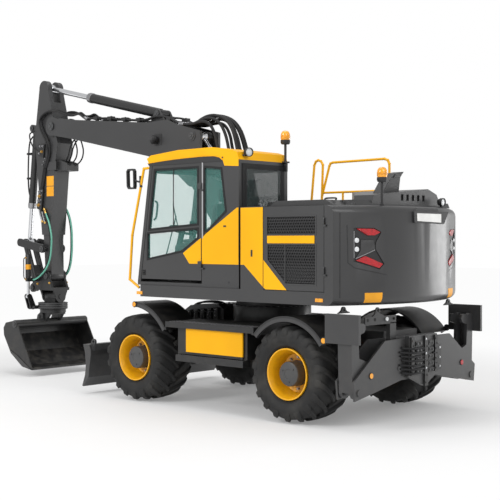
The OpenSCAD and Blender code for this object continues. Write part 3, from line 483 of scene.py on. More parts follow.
def buildStageLamps():
    for name, (at, aim, size, power) in stageLamps.items():
        lamp = bpy.data.objects.new(name, bpy.data.lights.new(name, "AREA"))
        lamp.data.size, lamp.data.energy = size, power
        lamp.location = at
        lamp.visible_camera = False
        lamp.rotation_mode = "QUATERNION"
        lamp.rotation_quaternion = (Vector(aim) - Vector(at)).to_track_quat("-Z", "Y")
        bpy.context.scene.collection.objects.link(lamp)


buildCamera()
buildFloor()
buildSky()
buildStageLamps()
print("stage set")


# finishes of the machine's own solids

finishes = {
    "greyPaint": ["upper_frame", "counterweight", "side_panels", "cab_shell", "cab_door", "service_door_left",
                  "service_door_right", "engine_hood", "base_boom", "outer_boom", "dipper_arm", "dozer_blade",
                  "stabiliser_frame", "stabiliser_leg_left", "stabiliser_leg_right"],
    "blackPaint": ["chassis_frame", "front_axle", "rear_axle", "fenders", "side_steps", "lift_barrels",
                   "adjust_barrel", "arm_barrel", "bucket_barrel", "blade_barrels", "stabiliser_barrel_left",
                   "stabiliser_barrel_right", "rocker", "push_link", "tilt_frame", "rotor_housing",
                   "tool_coupler", "bucket", "knuckle_left", "knuckle_right", "engine"],
    "yellowPaint": ["cab_roof", "toolbox_door"],
    "railPaint": ["handrails"],
    "wheelPaint": ["rim_front_left", "rim_front_right", "rim_rear_left", "rim_rear_right"],
    "tyreRubber": ["tyre_front_left", "tyre_front_right", "tyre_rear_left", "tyre_rear_right"],
    "chrome": ["blade_rods", "lift_rods", "adjust_rod", "arm_rod", "bucket_rod", "stabiliser_rod_left",
               "stabiliser_rod_right", "tilt_rod_left", "tilt_rod_right"],
    "tintGlass": ["cab_glass", "door_glass"],
    "trimPlastic": ["cab_interior", "lamps_mirrors"],
}
edges = {"counterweight": 0.03, "cab_roof": 0.025, "engine_hood": 0.02, "outer_boom": 0.008,
         "dipper_arm": 0.008, "base_boom": 0.008, "upper_frame": 0.008, "cab_shell": 0.006, "cab_door": 0.006,
         "side_panels": 0.008, "service_door_left": 0.006, "service_door_right": 0.006, "toolbox_door": 0.006,
         "dozer_blade": 0.006, "stabiliser_frame": 0.005, "stabiliser_leg_left": 0.008,
         "stabiliser_leg_right": 0.008, "side_steps": 0.006, "bucket": 0.004, "tilt_frame": 0.005,
         "rotor_housing": 0.005, "rocker": 0.006, "push_link": 0.006, "chassis_frame": 0.006,
         "rim_front_left": 0.003, "rim_front_right": 0.003, "rim_rear_left": 0.003, "rim_rear_right": 0.003}
for finishName, names in finishes.items():
    for nodeName in names:
        dress(nodeName, bpy.data.materials[finishName], edges.get(nodeName, 0.0))
print("solids dressed")


# tyres with lugs

tyre = {"casing": 0.527, "lugs": 18, "sweep": 0.39, "out": 0.97, "nuts": 10, "nutCircle": 0.185}
wheels = {"front_left": (axleX, 1), "front_right": (axleX, -1), "rear_left": (-axleX, 1),
          "rear_right": (-axleX, -1)}


def casing(shape, at):
    half = [(0.2864, 0.234), (0.299, 0.234), (0.303, 0.243), (0.330, 0.262), (0.334, 0.268), (0.342, 0.268),
            (0.346, 0.270), (0.380, 0.288), (0.411, 0.297), (0.450, 0.294), (0.486, 0.282), (0.510, 0.262),
            (0.522, 0.235), (tyre["casing"], 0.18), (tyre["casing"] + 0.002, 0.0)]
    shape.lathe([(r, -y) for r, y in half] + list(reversed(half[:-1])), at, acrossY, 72)


def lug(shape, at, turn, side):
    # (distance from the middle plane, top radius, foot radius, width)
    rows = [(-0.022, 0.556, 0.520, 0.040), (0.0, 0.564, 0.520, 0.050), (0.09, 0.564, 0.518, 0.054),
            (0.18, 0.558, 0.516, 0.058), (0.246, 0.547, 0.50, 0.064), (0.283, 0.522, 0.49, 0.070),
            (0.297, 0.486, 0.47, 0.072), (0.299, 0.452, 0.44, 0.060)]
    verts, faces = [], []
    for k, (y, top, foot, wide) in enumerate(rows):
        lean = tyre["sweep"] * max(0.0, min(1.0, (y / 0.28))) ** 0.8
        for r, half in ((foot, wide * 0.5 + 0.012), (top - 0.006, wide * 0.5), (top, wide * 0.5 - 0.007)):
            for s in (-1, 1):
                a = turn - lean + s * half / r
                verts.append((at[0] + math.cos(a) * r, at[1] + y * side, at[2] + math.sin(a) * r))
        if k >= 5:
            verts[-6:] = [(v[0], at[1] + side * (y - 0.002 + 0.003 * (i >= 2)), v[2])
                          for i, v in enumerate(verts[-6:])]
    loop = [0, 2, 4, 5, 3, 1]
    for k in range(0, 6 * (len(rows) - 1), 6):
        faces += [(k + a, k + b, k + 6 + b, k + 6 + a) for a, b in zip(loop[:-1], loop[1:])]
    faces += [tuple(loop), tuple(6 * (len(rows) - 1) + i for i in reversed(loop))]
    shape.add(verts, faces)


def onWheel(at, a, r, y):
    return (at[0] + math.cos(a) * r, y, at[2] + math.sin(a) * r)


def buildTyres():
    for name, (x, side) in wheels.items():
        at = (x, side * tyre["out"], axleZ)
        way = (0, side, 0)
        shape = Shape()
        casing(shape, at)
        for i in range(tyre["lugs"]):  # the outer side sits half a pitch on
            turn = 2 * math.pi * i / tyre["lugs"]
            lug(shape, at, turn + math.pi / tyre["lugs"], side)
            lug(shape, at, turn, -side)
        made = shape.piece("tyre_tread_" + name, tyreRubber, "wheel_" + name, 0.0, 40.0, "tyre_rubber")
        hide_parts("tyre_" + name)
        hubs = Shape()
        for a in around(tyre["nuts"], 0.5):
            hubs.nut(onWheel(at, a, tyre["nutCircle"], side * (tyre["out"] + 0.05)), way, 0.016, 0.026)
        hubs.piece("wheel_nuts_" + name, steel, "wheel_" + name, 0.0, 35.0, "cast_grey")
        drum = Shape().lathe([(0.139, 0.064), (0.150, 0.068), (0.150, 0.084), (0.144, 0.090), (0.144, 0.218),
                              (0.138, 0.232), (0.124, 0.238), (0.060, 0.239), (0.056, 0.234), (0.0001, 0.234)],
                             at, way, 48)
        for a in around(12):
            drum.nut(onWheel(at, a, 0.147, side * (tyre["out"] + 0.084)), way, 0.006, 0.012)
        for a in around(3):
            drum.nut(onWheel(at, a + 0.4, 0.092, side * (tyre["out"] + 0.238)), way, 0.010, 0.010)
        drum.piece("wheel_drum_" + name, castGrey, "wheel_" + name, 0.0, 30.0, "cast_grey")
    print("tyres built")


buildTyres()


# yellow panels and seals on the house

panel = {"proud": 0.003, "cabSide": 1.2198, "baySide": 1.2448, "sealLow": 1.2190, "sealHigh": 1.2245,
         "edge": 0.0012}


def grown(outline, d):
    n, made = len(outline), []
    area = sum(outline[i][0] * outline[(i + 1) % n][1] - outline[(i + 1) % n][0] * outline[i][1]
               for i in range(n))
    turn = 1 if area > 0 else -1
    for i in range(n):
        a, b, c = (Vector(outline[(i + k) % n]) for k in (-1, 0, 1))
        u, v = (b - a).normalized(), (c - b).normalized()
        n1, n2 = Vector((u.y, -u.x)) * turn, Vector((v.y, -v.x)) * turn
        m = (n1 + n2).normalized()
        made.append(tuple(b + m * d / max(0.35, m.dot(n1))))
    return made


def ring(shape, outer, inner, low, high, axis="y"):
    n = len(outer)
    verts = upright([(*p, h) for h in (low, high) for loop in (outer, inner) for p in loop], axis)
    faces = []
    for i in range(n):
        j = (i + 1) % n
        faces += [(i, j, n + j, n + i), (2 * n + i, 3 * n + i, 3 * n + j, 2 * n + j),
                  (i, 2 * n + i, 2 * n + j, j), (n + i, n + j, 3 * n + j, 3 * n + i)]
    return shape.add(verts, faces)


doorHigh = [(0.150, 2.300), (1.038, 2.240), (0.9255, 2.990), (0.150, 2.990)]
doorLow = [(0.150, 2.130), (0.430, 1.965), (1.062, 1.860), (1.062, 2.180), (0.150, 2.236)]
quarter = [(0.028, 2.990), (-0.253, 2.960), (-0.329, 2.449), (0.028, 2.185)]
boomSide = [(1.100, 2.060), (0.965, 2.960), (-0.430, 2.960), (-0.430, 2.060)]
rearPane = [(0.465, 2.340), (1.090, 2.340), (1.090, 2.960), (0.465, 2.960)]
doorSheet = [(0.090, 1.806), (0.295, 1.806), (0.408, 1.936), (0.090, 2.125)]
cabSheet = [(-0.546, 1.806), (0.073, 1.806), (0.073, 2.135), (-0.519, 2.487), (-0.546, 2.487)]
baySheet = [(-0.603, 1.807), (-0.66, 1.807), (-0.957, 1.556), (-0.957, 2.482), (-0.603, 2.482)]
bayDoorSheet = [(-0.968, 1.549), (-1.0, 1.528), (-1.322, 1.528), (-0.968, 1.868)]


def yellowSheet(name, body, outline, y, side=1):
    sheet = Shape().plate(outline, side * y, side * (y + panel["proud"]))
    sheet.piece(name, yellowPaint, body, panel["edge"], slot="paint_yellow")


def buildPanels():
    yellowSheet("door_yellow_panel", "cab_door", doorSheet, panel["cabSide"])
    yellowSheet("cab_yellow_panel", "house", cabSheet, panel["cabSide"])
    for side, name in sides:
        yellowSheet("bay_yellow_" + name, "house", baySheet, panel["baySide"], side)
        yellowSheet("bay_door_yellow_" + name, "service_door_" + name, bayDoorSheet, panel["baySide"], side)
        catch = Shape().block(-0.795, -0.769, side * 1.2475, side * 1.2500, 1.905, 1.985)
        catch.disc(0.008, 0.004, (-0.782, side * 1.2495, 1.965), (0, side, 0), 16)
        catch.piece("bay_catch_" + name, trimPlastic, "house", 0.001, slot="trim_plastic")
    seals = Shape()
    ring(seals, grown(quarter, 0.022), grown(quarter, -0.006), panel["sealLow"], panel["sealHigh"])
    ring(seals, grown(boomSide, 0.022), grown(boomSide, -0.006), 0.3305, 0.3360)
    ring(seals, grown(rearPane, 0.025), grown(rearPane, -0.006), -0.5560, -0.5495, "x")
    seals.piece("cab_window_seals", sealRubber, "house", 0.002, slot="trim_plastic")
    seals = Shape()
    ring(seals, grown(doorHigh, 0.022), grown(doorHigh, -0.006), panel["sealLow"], panel["sealHigh"])
    ring(seals, grown(doorLow, 0.020), grown(doorLow, -0.006), panel["sealLow"], panel["sealHigh"])
    seals.block(0.585, 0.60, 1.2085, 1.2125, 2.27, 2.985)  # edge of the sliding pane
    seals.piece("door_window_seals", sealRubber, "cab_door", 0.002, slot="trim_plastic")
    # a bright metal strip on the seam between the door and the quarter window is a painted highlight
    seamHighlight = Shape().block(0.050, 0.072, 1.2195, 1.2265, 2.12, 3.055)
    seamHighlight.piece("door_seam_highlight", metalBright, "house", 0.003, slot="rod_chrome")
    # the near-black cup is painted shade in the handle recess
    handle = Shape().block(1.105, 1.165, 1.2190, 1.2225, 1.645, 1.715)
    handle.piece("door_handle_cup", cavityBlack, "cab_door", 0.006, slot="trim_plastic")
    handle = Shape().tube([(1.115, 1.222, 1.69), (1.125, 1.234, 1.69), (1.150, 1.234, 1.69),
                           (1.160, 1.222, 1.69)], 0.006, 8, 4)
    handle.piece("door_handle", trimPlastic, "cab_door", slot="trim_plastic")
    grip = Shape().tube([(0.99, 1.176, 2.36), (0.995, 1.135, 2.40), (0.975, 1.132, 2.56),
                         (0.965, 1.176, 2.60)], 0.013, 10, 6)
    grip.piece("door_inner_grip", trimPlastic, "cab_door", slot="trim_plastic")
    wiper = Shape().tube([(1.232, 0.775, 1.80), (1.20, 0.70, 2.1), (1.168, 0.62, 2.42)], 0.008, 8, 6)
    wiper.tube([(1.178, 0.56, 2.22), (1.145, 0.70, 2.58)], 0.007, 6)
    wiper.disc(0.028, 0.03, (1.222, 0.775, 1.80), (1, 0, 0.15), 20)
    wiper.piece("front_wiper", trimPlastic, "house", slot="trim_plastic")
    print("panels built")


buildPanels()


# side grilles with hexagon mesh

grille = {"pitch": 0.036, "wire": 0.0055, "thick": 0.0035}
upperGrille = [(-1.022, 2.160), (-1.748, 2.160), (-1.748, 2.370), (-1.022, 2.370)]
lowerGrille = [(-1.030, 2.050), (-1.030, 1.869), (-1.311, 1.600), (-1.748, 1.600), (-1.748, 2.050)]


def within(p, outline, margin):
    inside, n = False, len(outline)
    for i in range(n):
        a, b = Vector(outline[i]), Vector(outline[(i + 1) % n])
        if (a.y > p[1]) != (b.y > p[1]) and p[0] < (b.x - a.x) * (p[1] - a.y) / (b.y - a.y) + a.x:
            inside = not inside
        t = max(0.0, min(1.0, (Vector(p) - a).dot(b - a) / (b - a).length_squared))
        if (a + (b - a) * t - Vector(p)).length < margin:
            return False
    return inside


def hexMesh(shape, outline, low, high):
    pitch, wire = grille["pitch"], grille["wire"]
    x0, x1 = min(p[0] for p in outline), max(p[0] for p in outline)
    z0, z1 = min(p[1] for p in outline), max(p[1] for p in outline)
    r = pitch / math.sqrt(3)
    for j in range(int((z1 - z0) / (1.5 * r)) + 2):
        for i in range(int((x1 - x0) / pitch) + 2):
            c = (x0 + pitch * (i + 0.5 * (j % 2)), z0 + 1.5 * r * j)
            if not within(c, outline, r * 0.55):
                continue
            turns = [k * math.pi / 3 for k in range(6)]
            outer, inner = ([(c[0] + rad * math.sin(a), c[1] + rad * math.cos(a)) for a in turns]
                            for rad in (r, r - wire))
            ring(shape, outer, inner, low, high)


def buildGrilles():
    for side, name in sides:
        body = "service_door_" + name
        y = side * panel["baySide"]
        # a near-black sheet behind the mesh is painted shade of the bay behind it
        shadeBack = Shape()
        for outline in (upperGrille, lowerGrille):
            shadeBack.plate(grown(outline, -0.001), side * 1.2312, side * 1.2322)
        shadeBack.piece("grille_back_" + name, cavityBlack, body, slot="paint_black")
        wires = Shape()
        for outline in (upperGrille, lowerGrille):
            hexMesh(wires, outline, side * 1.2394, side * (1.2394 + grille["thick"]))
        wires.piece("grille_mesh_" + name, meshBlack, body, slot="paint_black")
        rims = Shape()
        for outline in (upperGrille, lowerGrille):
            ring(rims, grown(outline, 0.012), grown(outline, -0.005), y - side * 0.002, y + side * 0.004)
        rims.block(-1.307, -1.293, y - side * 0.004, y + side * 0.004, 1.605, 2.048)
        rims.piece("grille_frame_" + name, greyPaint, body, 0.0015, slot="paint_grey")
        bar = Shape().block(-1.735, -1.030, y, y + side * 0.010, 2.062, 2.150)
        bar.piece("grille_bar_" + name, yellowPaint, body, 0.004, slot="paint_yellow")
    print("grilles built")


buildGrilles()


# counterweight lamps, plate holder and signs

tail = {"radius": 2.35, "round": 0.09, "low": 1.37, "high": 2.49, "pocket": 0.014}


def onTail(y, z, out=0.0):
    # a point on the rear face, whose upper and lower edges are rounded
    deep = max(tail["low"] + tail["round"] - z, z - tail["high"] + tail["round"], 0.0)
    r = tail["radius"] + out - tail["round"] + math.sqrt(max(0.0, tail["round"] ** 2 - deep ** 2))
    return (-math.sqrt(r * r - y * y), y, z)


def tailPatch(shape, outline, low, high, pitch=0.04):
    # a plate that follows the rear face, its outline in Y and Z
    flat = bmesh.new()
    flat.faces.new([flat.verts.new((y, z, 0)) for y, z in outline])
    for axis in (0, 1):
        values = [p[axis] for p in outline]
        for k in range(1, int((max(values) - min(values)) / pitch) + 1):
            spot, way = [0, 0, 0], [0, 0, 0]
            spot[axis], way[axis] = min(values) + k * pitch, 1
            bmesh.ops.bisect_plane(flat, geom=flat.verts[:] + flat.edges[:] + flat.faces[:], plane_co=spot,
                                   plane_no=way)
    flat.verts.index_update()
    n = len(flat.verts)
    verts = [onTail(v.co.x, v.co.y, out) for out in (low, high) for v in flat.verts]
    faces = []
    for f in flat.faces:
        ids = [v.index for v in f.verts]
        faces += [tuple(reversed(ids)), tuple(i + n for i in ids)]
    for e in flat.edges:
        if len(e.link_faces) == 1:
            a, b = (v.index for v in e.verts)
            faces.append((a, b, b + n, a + n))
    flat.free()
    return shape.add(verts, faces)


def tailLine(shape, points, width, low, high):
    for a, b in zip(points, points[1:]):
        a, b = Vector(a), Vector(b)
        n = Vector((-(b - a).y, (b - a).x)).normalized() * width * 0.5
        tailPatch(shape, [tuple(a + n), tuple(b + n), tuple(b - n), tuple(a - n)], low, high)
    return shape


lampPocket = [(1.028, 1.862), (1.028, 2.236), (0.785, 2.236), (0.690, 2.190), (0.765, 2.060), (0.765, 2.000),
              (0.650, 1.832), (0.718, 1.772)]
lampHigh = [(0.991, 2.227), (0.791, 2.225), (0.708, 2.187), (0.780, 2.153), (0.865, 2.153)]
lampLow = [(1.000, 1.872), (0.896, 1.923), (0.672, 1.832), (0.722, 1.787)]
lampCentres = [(0.986, 1.998), (0.986, 2.097)]
tailCrease = [(1.100, 2.266), (1.090, 1.848), (1.015, 1.791), (0.619, 1.709)]
tailSign = [(0.900, 1.512), (0.677, 1.512), (0.683, 1.401), (0.900, 1.402)]


def buildTail():
    deep = tail["pocket"]
    signs = Shape()
    for side, name in sides:
        def flip(outline): return [(side * y, z) for y, z in outline]
        floor = tailPatch(Shape(), flip(grown(lampPocket, -0.002)), -deep - 0.001, -deep + 0.0012)
        floor.piece("tail_lamp_floor_" + name, trimPlastic, "house", slot="trim_plastic")
        edge = tailLine(Shape(), flip([(0.774, 1.990), (1.005, 1.895)]), 0.008, -0.004, 0.001)
        tailLine(edge, flip([(1.024, 1.90), (1.024, 2.20)]), 0.006, -0.010, 0.0015)
        edge.piece("tail_lamp_trim_" + name, steel, "house", slot="cast_grey")
        reds = tailPatch(Shape(), flip(lampHigh), -deep + 0.0012, 0.004)
        tailPatch(reds, flip(lampLow), -deep + 0.0012, 0.004)
        reds.piece("tail_lamp_red_" + name, redLens, "house", 0.003, slot="lamp_plastic")
        rounds, bezels = Shape(), Shape()
        for y, z in lampCentres:
            at = onTail(side * y, z, -deep)
            out = (at[0], at[1], 0)
            rounds.lathe([(0.0001, 0.020), (0.018, 0.018), (0.028, 0.014), (0.031, 0.006), (0.031, 0.0)], at,
                         out, 28)
            bezels.lathe([(0.031, 0.001), (0.031, 0.014), (0.033, 0.016), (0.036, 0.013), (0.036, 0.001)], at,
                         out, 28)
        rounds.piece("tail_lamp_round_" + name, clearLens, "house", slot="lamp_plastic")
        bezels.piece("tail_lamp_bezel_" + name, trimPlastic, "house", slot="trim_plastic")
        # dark lines along the crease and the seam of the rear face are painted shade in these grooves
        creaseShade = tailLine(Shape(), flip(tailCrease), 0.010, -0.001, 0.0015)
        creaseShade.piece("tail_crease_" + name, blackPaint, "house", slot="paint_black")
        seamShade = tailLine(Shape(), flip([(1.175, 2.40), (1.175, 1.46)]), 0.012, -0.001, 0.002)
        seamShade.piece("tail_seam_" + name, blackPaint, "house", slot="paint_black")
        tailPatch(signs, flip(tailSign), -0.0005, 0.002, 0.02)
    signs.piece("tail_blank_signs", signOrange, "house", slot="lamp_plastic")
    plate = [(0.157, 2.408), (-0.352, 2.407), (-0.352, 2.305), (0.149, 2.319)]
    holder = Shape()
    ring(holder, [(0.219, 2.431), (-0.509, 2.436), (-0.415, 2.291), (0.211, 2.298)], plate, -2.3630, -2.2900,
         "x")
    holder.slab([(0.150, 2.470), (-0.300, 2.470), (-0.330, 2.425), (0.190, 2.425)], -2.345, -2.250)
    holder.piece("plate_holder", trimPlastic, "house", 0.004, slot="trim_plastic")
    Shape().slab(plate, -2.3600, -2.3575).piece("blank_plate", signWhite, "house", slot="lamp_plastic")
    print("tail built")


buildTail()


# beacons, mirrors and work lamps

lampSet = {"dome": 0.058, "workLamp": 0.055, "reflector": 0.030, "mirrorRim": 0.022}


def beacon(name, x, y, foot, head):
    pole = Shape().tube([(x, y, foot), (x, y, head)], 0.016, 14)
    pole.disc(0.028, 0.02, (x, y, foot), upZ, 20)
    pole.lathe([(0.0001, 0), (0.05, 0), (0.06, 0.02), (0.06, 0.05), (0.05, 0.056), (0.0001, 0.056)],
               (x, y, head - 0.006), upZ, 32)
    made = pole.piece(name + "_pole", trimPlastic, "house", slot="trim_plastic")
    d = lampSet["dome"]
    dome = Shape().lathe([(d * 0.93, 0), (d, 0.015), (d, 0.055), (d * 0.94, 0.08), (d * 0.7, 0.104),
                          (d * 0.35, 0.114), (0.0001, 0.116)], (x, y, head + 0.048), upZ, 36)
    for k in range(3):
        dome.lathe([(d + 0.0015, 0.02 + k * 0.012), (d + 0.003, 0.024 + k * 0.012),
                    (d + 0.0015, 0.028 + k * 0.012)], (x, y, head + 0.048), upZ, 36)
    dome.piece(name + "_dome", amberLens, "house", slot="lamp_plastic")
    return made


def workLamp(name, at, way, body, scale=1.0):
    r = lampSet["workLamp"] * scale
    shell = Shape().lathe([(0.0001, -r * 1.2), (r * 0.5, -r * 1.15), (r * 0.85, -r * 0.6), (r, -r * 0.1),
                           (r, r * 0.35), (r * 0.9, r * 0.35), (r * 0.86, r * 0.1)], at, way, 28)
    for k in range(4):
        shell.lathe([(r * (0.55 + 0.1 * k), -r * (1.05 - 0.2 * k)),
                     (r * (0.72 + 0.09 * k), -r * (1.0 - 0.2 * k)),
                     (r * (0.58 + 0.1 * k), -r * (0.95 - 0.2 * k))], at, way, 20)
    shell.piece(name + "_shell", trimPlastic, body, slot="trim_plastic")
    lens = Shape().lathe([(0.0001, r * 0.2), (r * 0.5, r * 0.17), (r * 0.88, r * 0.08)], at, way, 28)
    lens.piece(name + "_lens", clearLens, body, slot="lamp_plastic")


def buildLamps():
    first = beacon("rear_beacon", -2.16, 0.56, 2.488, 2.765)
    beacon("cab_beacon", -0.5724, 0.40, 3.02, 3.295)
    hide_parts("lamps_mirrors")
    arms = Shape().block(-0.61, -0.55, 0.36, 0.44, 3.055, 3.075)
    arms.block(-0.60, -0.55, 0.385, 0.415, 2.95, 3.06)
    arms.piece("cab_beacon_bracket", trimPlastic, "house", 0.003, slot="trim_plastic")
    loop = [(1.305, 2.765), (1.42, 2.765), (1.447, 2.80), (1.455, 3.0), (1.43, 3.03), (1.325, 3.03),
            (1.302, 3.0), (1.295, 2.80)]
    mirror = Shape()
    ring(mirror, loop, grown(loop, -lampSet["mirrorRim"]), 1.200, 1.250)
    mirror.tube([(1.152, 1.236, 2.85), (1.24, 1.238, 2.86), (1.30, 1.225, 2.88)], 0.013, 10, 5)
    mirror.tube([(1.175, 1.236, 2.78), (1.185, 1.236, 2.93)], 0.020, 10)
    mirror.piece("mirror_left", trimPlastic, "house", 0.006, slot="trim_plastic")
    workLamp("roof_lamp_left", (-0.600, 1.10, 3.150), (-1, 0.25, -0.12), "house")
    roofArm = Shape().tube([(-0.545, 1.10, 3.125), (-0.575, 1.10, 3.13), (-0.60, 1.10, 3.15)], 0.010, 8, 4)
    roofArm.block(-0.575, -0.53, 1.06, 1.14, 3.105, 3.125)
    roofArm.piece("roof_lamp_bracket", trimPlastic, "house", 0.002, slot="trim_plastic")
    for y in (0.45, 1.10):
        name = str(int(y * 100))
        workLamp("roof_front_lamp_" + name, (1.10, y, 3.10), (1, 0, -0.15), "house")
        bracket = Shape().block(1.03, 1.08, y - 0.02, y + 0.02, 3.07, 3.12)
        bracket.piece("roof_front_bracket_" + name, trimPlastic, "house", 0.003, slot="trim_plastic")
    workLamp("tail_lamp", (-2.112, -0.76, 2.562), (-1, 0, -0.05), "house", 0.95)
    post = Shape().tube([(-2.09, -0.76, 2.489), (-2.09, -0.76, 2.53)], 0.014, 10)
    post.disc(0.030, 0.010, (-2.09, -0.76, 2.489), upZ, 18)
    post.piece("tail_lamp_post", trimPlastic, "house", slot="trim_plastic")
    workLamp("boom_lamp", (2.02, 0.268, 3.515), (1, 0.35, -0.25), "outer_boom", 1.1)
    hold = Shape().block(1.91, 2.06, 0.199, 0.206, 3.44, 3.60)
    hold.block(1.985, 2.015, 0.2, 0.255, 3.455, 3.470)
    hold.piece("boom_lamp_bracket", trimPlastic, "outer_boom", 0.003, slot="trim_plastic")
    small = Shape()
    for x, z in ((1.195, 1.416), (-1.80, 1.43)):
        for s in (1, -1):
            small.block(x - 0.055, x + 0.055, s * 1.2445, s * 1.2515, z - 0.02, z + 0.02)
    small.piece("sill_markers", amberLens, "house", 0.003, slot="lamp_plastic")
    small, cups = Shape(), Shape()
    r = lampSet["reflector"]
    for s in (1, -1):
        small.disc(r, 0.012, (1.285, s * 1.2555, 1.262), (0, s, 0), 24)
        small.disc(r, 0.014, (-1.868, s * 1.2475, 0.985), (0, s, 0), 24)
        cups.disc(0.042, 0.008, (-1.868, s * 1.242, 0.985), (0, s, 0), 24)
        cups.disc(0.040, 0.008, (1.285, s * 1.2525, 1.262), (0, s, 0), 24)
        cups.disc(0.038, 0.006, (-2.280, s * 0.93, 0.60), backX, 24)
    small.disc(r, 0.012, (-2.280, 0.93, 0.60), backX, 24)
    small.piece("fender_markers", amberLens, "chassis", slot="lamp_plastic")
    cups.piece("marker_cups", trimPlastic, "chassis", slot="trim_plastic")
    red = Shape().disc(r, 0.012, (-2.280, -0.93, 0.60), backX, 24)
    red.piece("rear_reflector_red", redLens, "chassis", slot="lamp_plastic")
    print("lamps built")


buildLamps()


# hoses, pipes and fittings of the boom and arm

hoseSet = {"big": 0.0215, "mid": 0.0155, "small": 0.011, "green": 0.0135, "pipe": 0.014}
cordLengths = {}


def fitting(shape, at, toward, r):
    way = (Vector(toward) - Vector(at)).normalized()
    shape.lathe([(0.0001, -0.012), (r * 1.02, -0.012), (r * 1.28, -0.006), (r * 1.28, 0.045),
                 (r * 1.05, 0.052)], at, way, 16)
    shape.lathe([(0.0001, -0.042), (r * 1.5, -0.042), (r * 1.5, -0.014), (r * 1.0, -0.012), (0.0001, -0.012)],
                at, way, 6)
    return shape


def hose(name, points, r, mat, across):
    # across: the two bodies it would join, and where each one's hold on it would start; not used
    path = smoothPath(points, 10)
    made = Shape().tube(points, r, 12, 10).piece(name, mat, None, 0.0, 60.0, "trim_plastic")
    row(across[2])
    row(across[3])
    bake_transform(made)
    length = sum((b - a).length for a, b in zip(path, path[1:]))
    line = [tuple(row(p)) for p in path]
    cordLengths[name] = round(length, 3)


# side views of the hoses over the boom foot, then each hose with its offset at the top and at the foot
arch = {
    "outer": [(1.545, 3.718), (1.36, 3.718), (1.246, 3.765), (1.11, 3.798), (0.956, 3.791), (0.767, 3.715),
              (0.636, 3.570), (0.544, 3.331), (0.47, 3.04), (0.40, 2.74), (0.372, 2.604)],
    "middle": [(1.55, 3.714), (1.36, 3.708), (1.22, 3.742), (1.09, 3.762), (0.96, 3.742), (0.83, 3.655),
               (0.735, 3.50), (0.67, 3.29), (0.585, 3.03), (0.48, 2.78), (0.44, 2.670)],
    "inner": [(1.555, 3.710), (1.36, 3.698), (1.22, 3.715), (1.09, 3.712), (0.985, 3.655), (0.905, 3.53),
              (0.86, 3.37), (0.79, 3.16), (0.68, 2.96), (0.56, 2.80), (0.528, 2.752)],
    "hoses": [("inner", 0.152, 0.128), ("inner", -0.152, -0.128), ("middle", 0.1085, 0.120),
              ("middle", -0.1085, -0.120), ("outer", 0.065, 0.134), ("outer", 0.0217, 0.0905),
              ("outer", -0.0217, -0.0905), ("outer", -0.065, -0.134)],
    "joined": ("base_boom", "outer_boom", (0.55, 0, 3.02), (1.34, 0, 3.72)),
}


def buildArch():
    ends, r = Shape(), hoseSet["big"]
    for k, (kind, top, foot) in enumerate(arch["hoses"]):
        arc = arch[kind]
        n = len(arc) - 1
        points = [(x, top + (foot - top) * max(0.0, (i / n - 0.45) / 0.55), z) for i, (x, z) in enumerate(arc)]
        hose("arch_hose_" + str(k), points, r, hoseRubber, arch["joined"])
        fitting(ends, points[0], points[1], r)
    ends.block(1.56, 1.66, -0.172, 0.172, 3.685, 3.738)
    ends.piece("arch_hose_block", steel, "outer_boom", 0.003, slot="cast_grey")


def buildBoomPipes():
    run = [(1.60, 3.725), (1.70, 3.775), (1.86, 3.835), (2.06, 3.855), (2.30, 3.826), (2.60, 3.848),
           (3.04, 3.904), (3.40, 3.930), (3.60, 3.940)]
    hump = [(3.60, 3.940), (3.70, 3.995), (3.80, 4.046), (3.92, 4.030), (4.06, 4.044), (4.20, 4.090),
            (4.34, 4.128), (4.50, 4.135), (4.64, 4.100), (4.735, 4.02), (4.735, 3.92), (4.68, 3.81),
            (4.60, 3.70), (4.55, 3.60), (4.535, 3.48), (4.575, 3.35), (4.63, 3.24)]
    pipes, ends, clamps = Shape(), Shape(), Shape()
    for side, name in sides:
        for k, y in enumerate((0.134, 0.172)):
            pipes.tube([(x, side * y, z) for x, z in run], hoseSet["pipe"], 12, 6)
            last = (run[-1][0], side * y, run[-1][1])
            fitting(ends, (last[0] + 0.02, last[1], last[2] + 0.006),
                    (last[0] + 0.12, last[1], last[2] + 0.05), hoseSet["mid"])
            line = []
            for i, (x, z) in enumerate(hump):
                onArm = i >= 14
                far = 0.171 + (0.008 if onArm else 0.034) * k
                out = y if i < 4 else y + (far - y) * min(1.0, (i - 3) / 4)
                line.append((x + (0.034 if onArm else 0.012) * k, side * out, z - 0.016 * k))
            joined = ("outer_boom", "dipper_arm", (4.22, 0, 4.15), (4.56, 0, 3.95))
            hose("arm_feed_hose_" + name + "_" + str(k), line, hoseSet["mid"], hoseRubber, joined)
        for x in (1.78, 2.42, 2.74, 3.06, 3.38):
            i = next(i for i in range(len(run) - 1) if run[i][0] <= x <= run[i + 1][0])
            t = (x - run[i][0]) / (run[i + 1][0] - run[i][0])
            z = run[i][1] + (run[i + 1][1] - run[i][1]) * t
            clamps.block(x - 0.045, x + 0.045, side * 0.112, side * 0.195, z - 0.024, z + 0.026)
            clamps.block(x - 0.016, x + 0.016, side * 0.128, side * 0.180, z - 0.075, z - 0.02)
            clamps.nut((x, side * 0.153, z + 0.024), upZ, 0.009, 0.012)
    pipes.piece("boom_pipes", hoseRubber, "outer_boom", slot="paint_black")
    clamps.piece("boom_pipe_clamps", blackPaint, "outer_boom", 0.003, slot="paint_black")
    ends.piece("boom_pipe_fittings", steel, "outer_boom", slot="cast_grey")


loopLong = [(4.055, 3.670), (4.015, 3.59), (3.985, 3.49), (4.005, 3.39), (4.075, 3.315), (4.20, 3.262),
            (4.33, 3.24), (4.425, 3.235)]
loopShort = [(4.076, 3.672), (4.150, 3.61), (4.205, 3.53), (4.235, 3.44), (4.285, 3.36), (4.35, 3.30),
             (4.42, 3.275)]


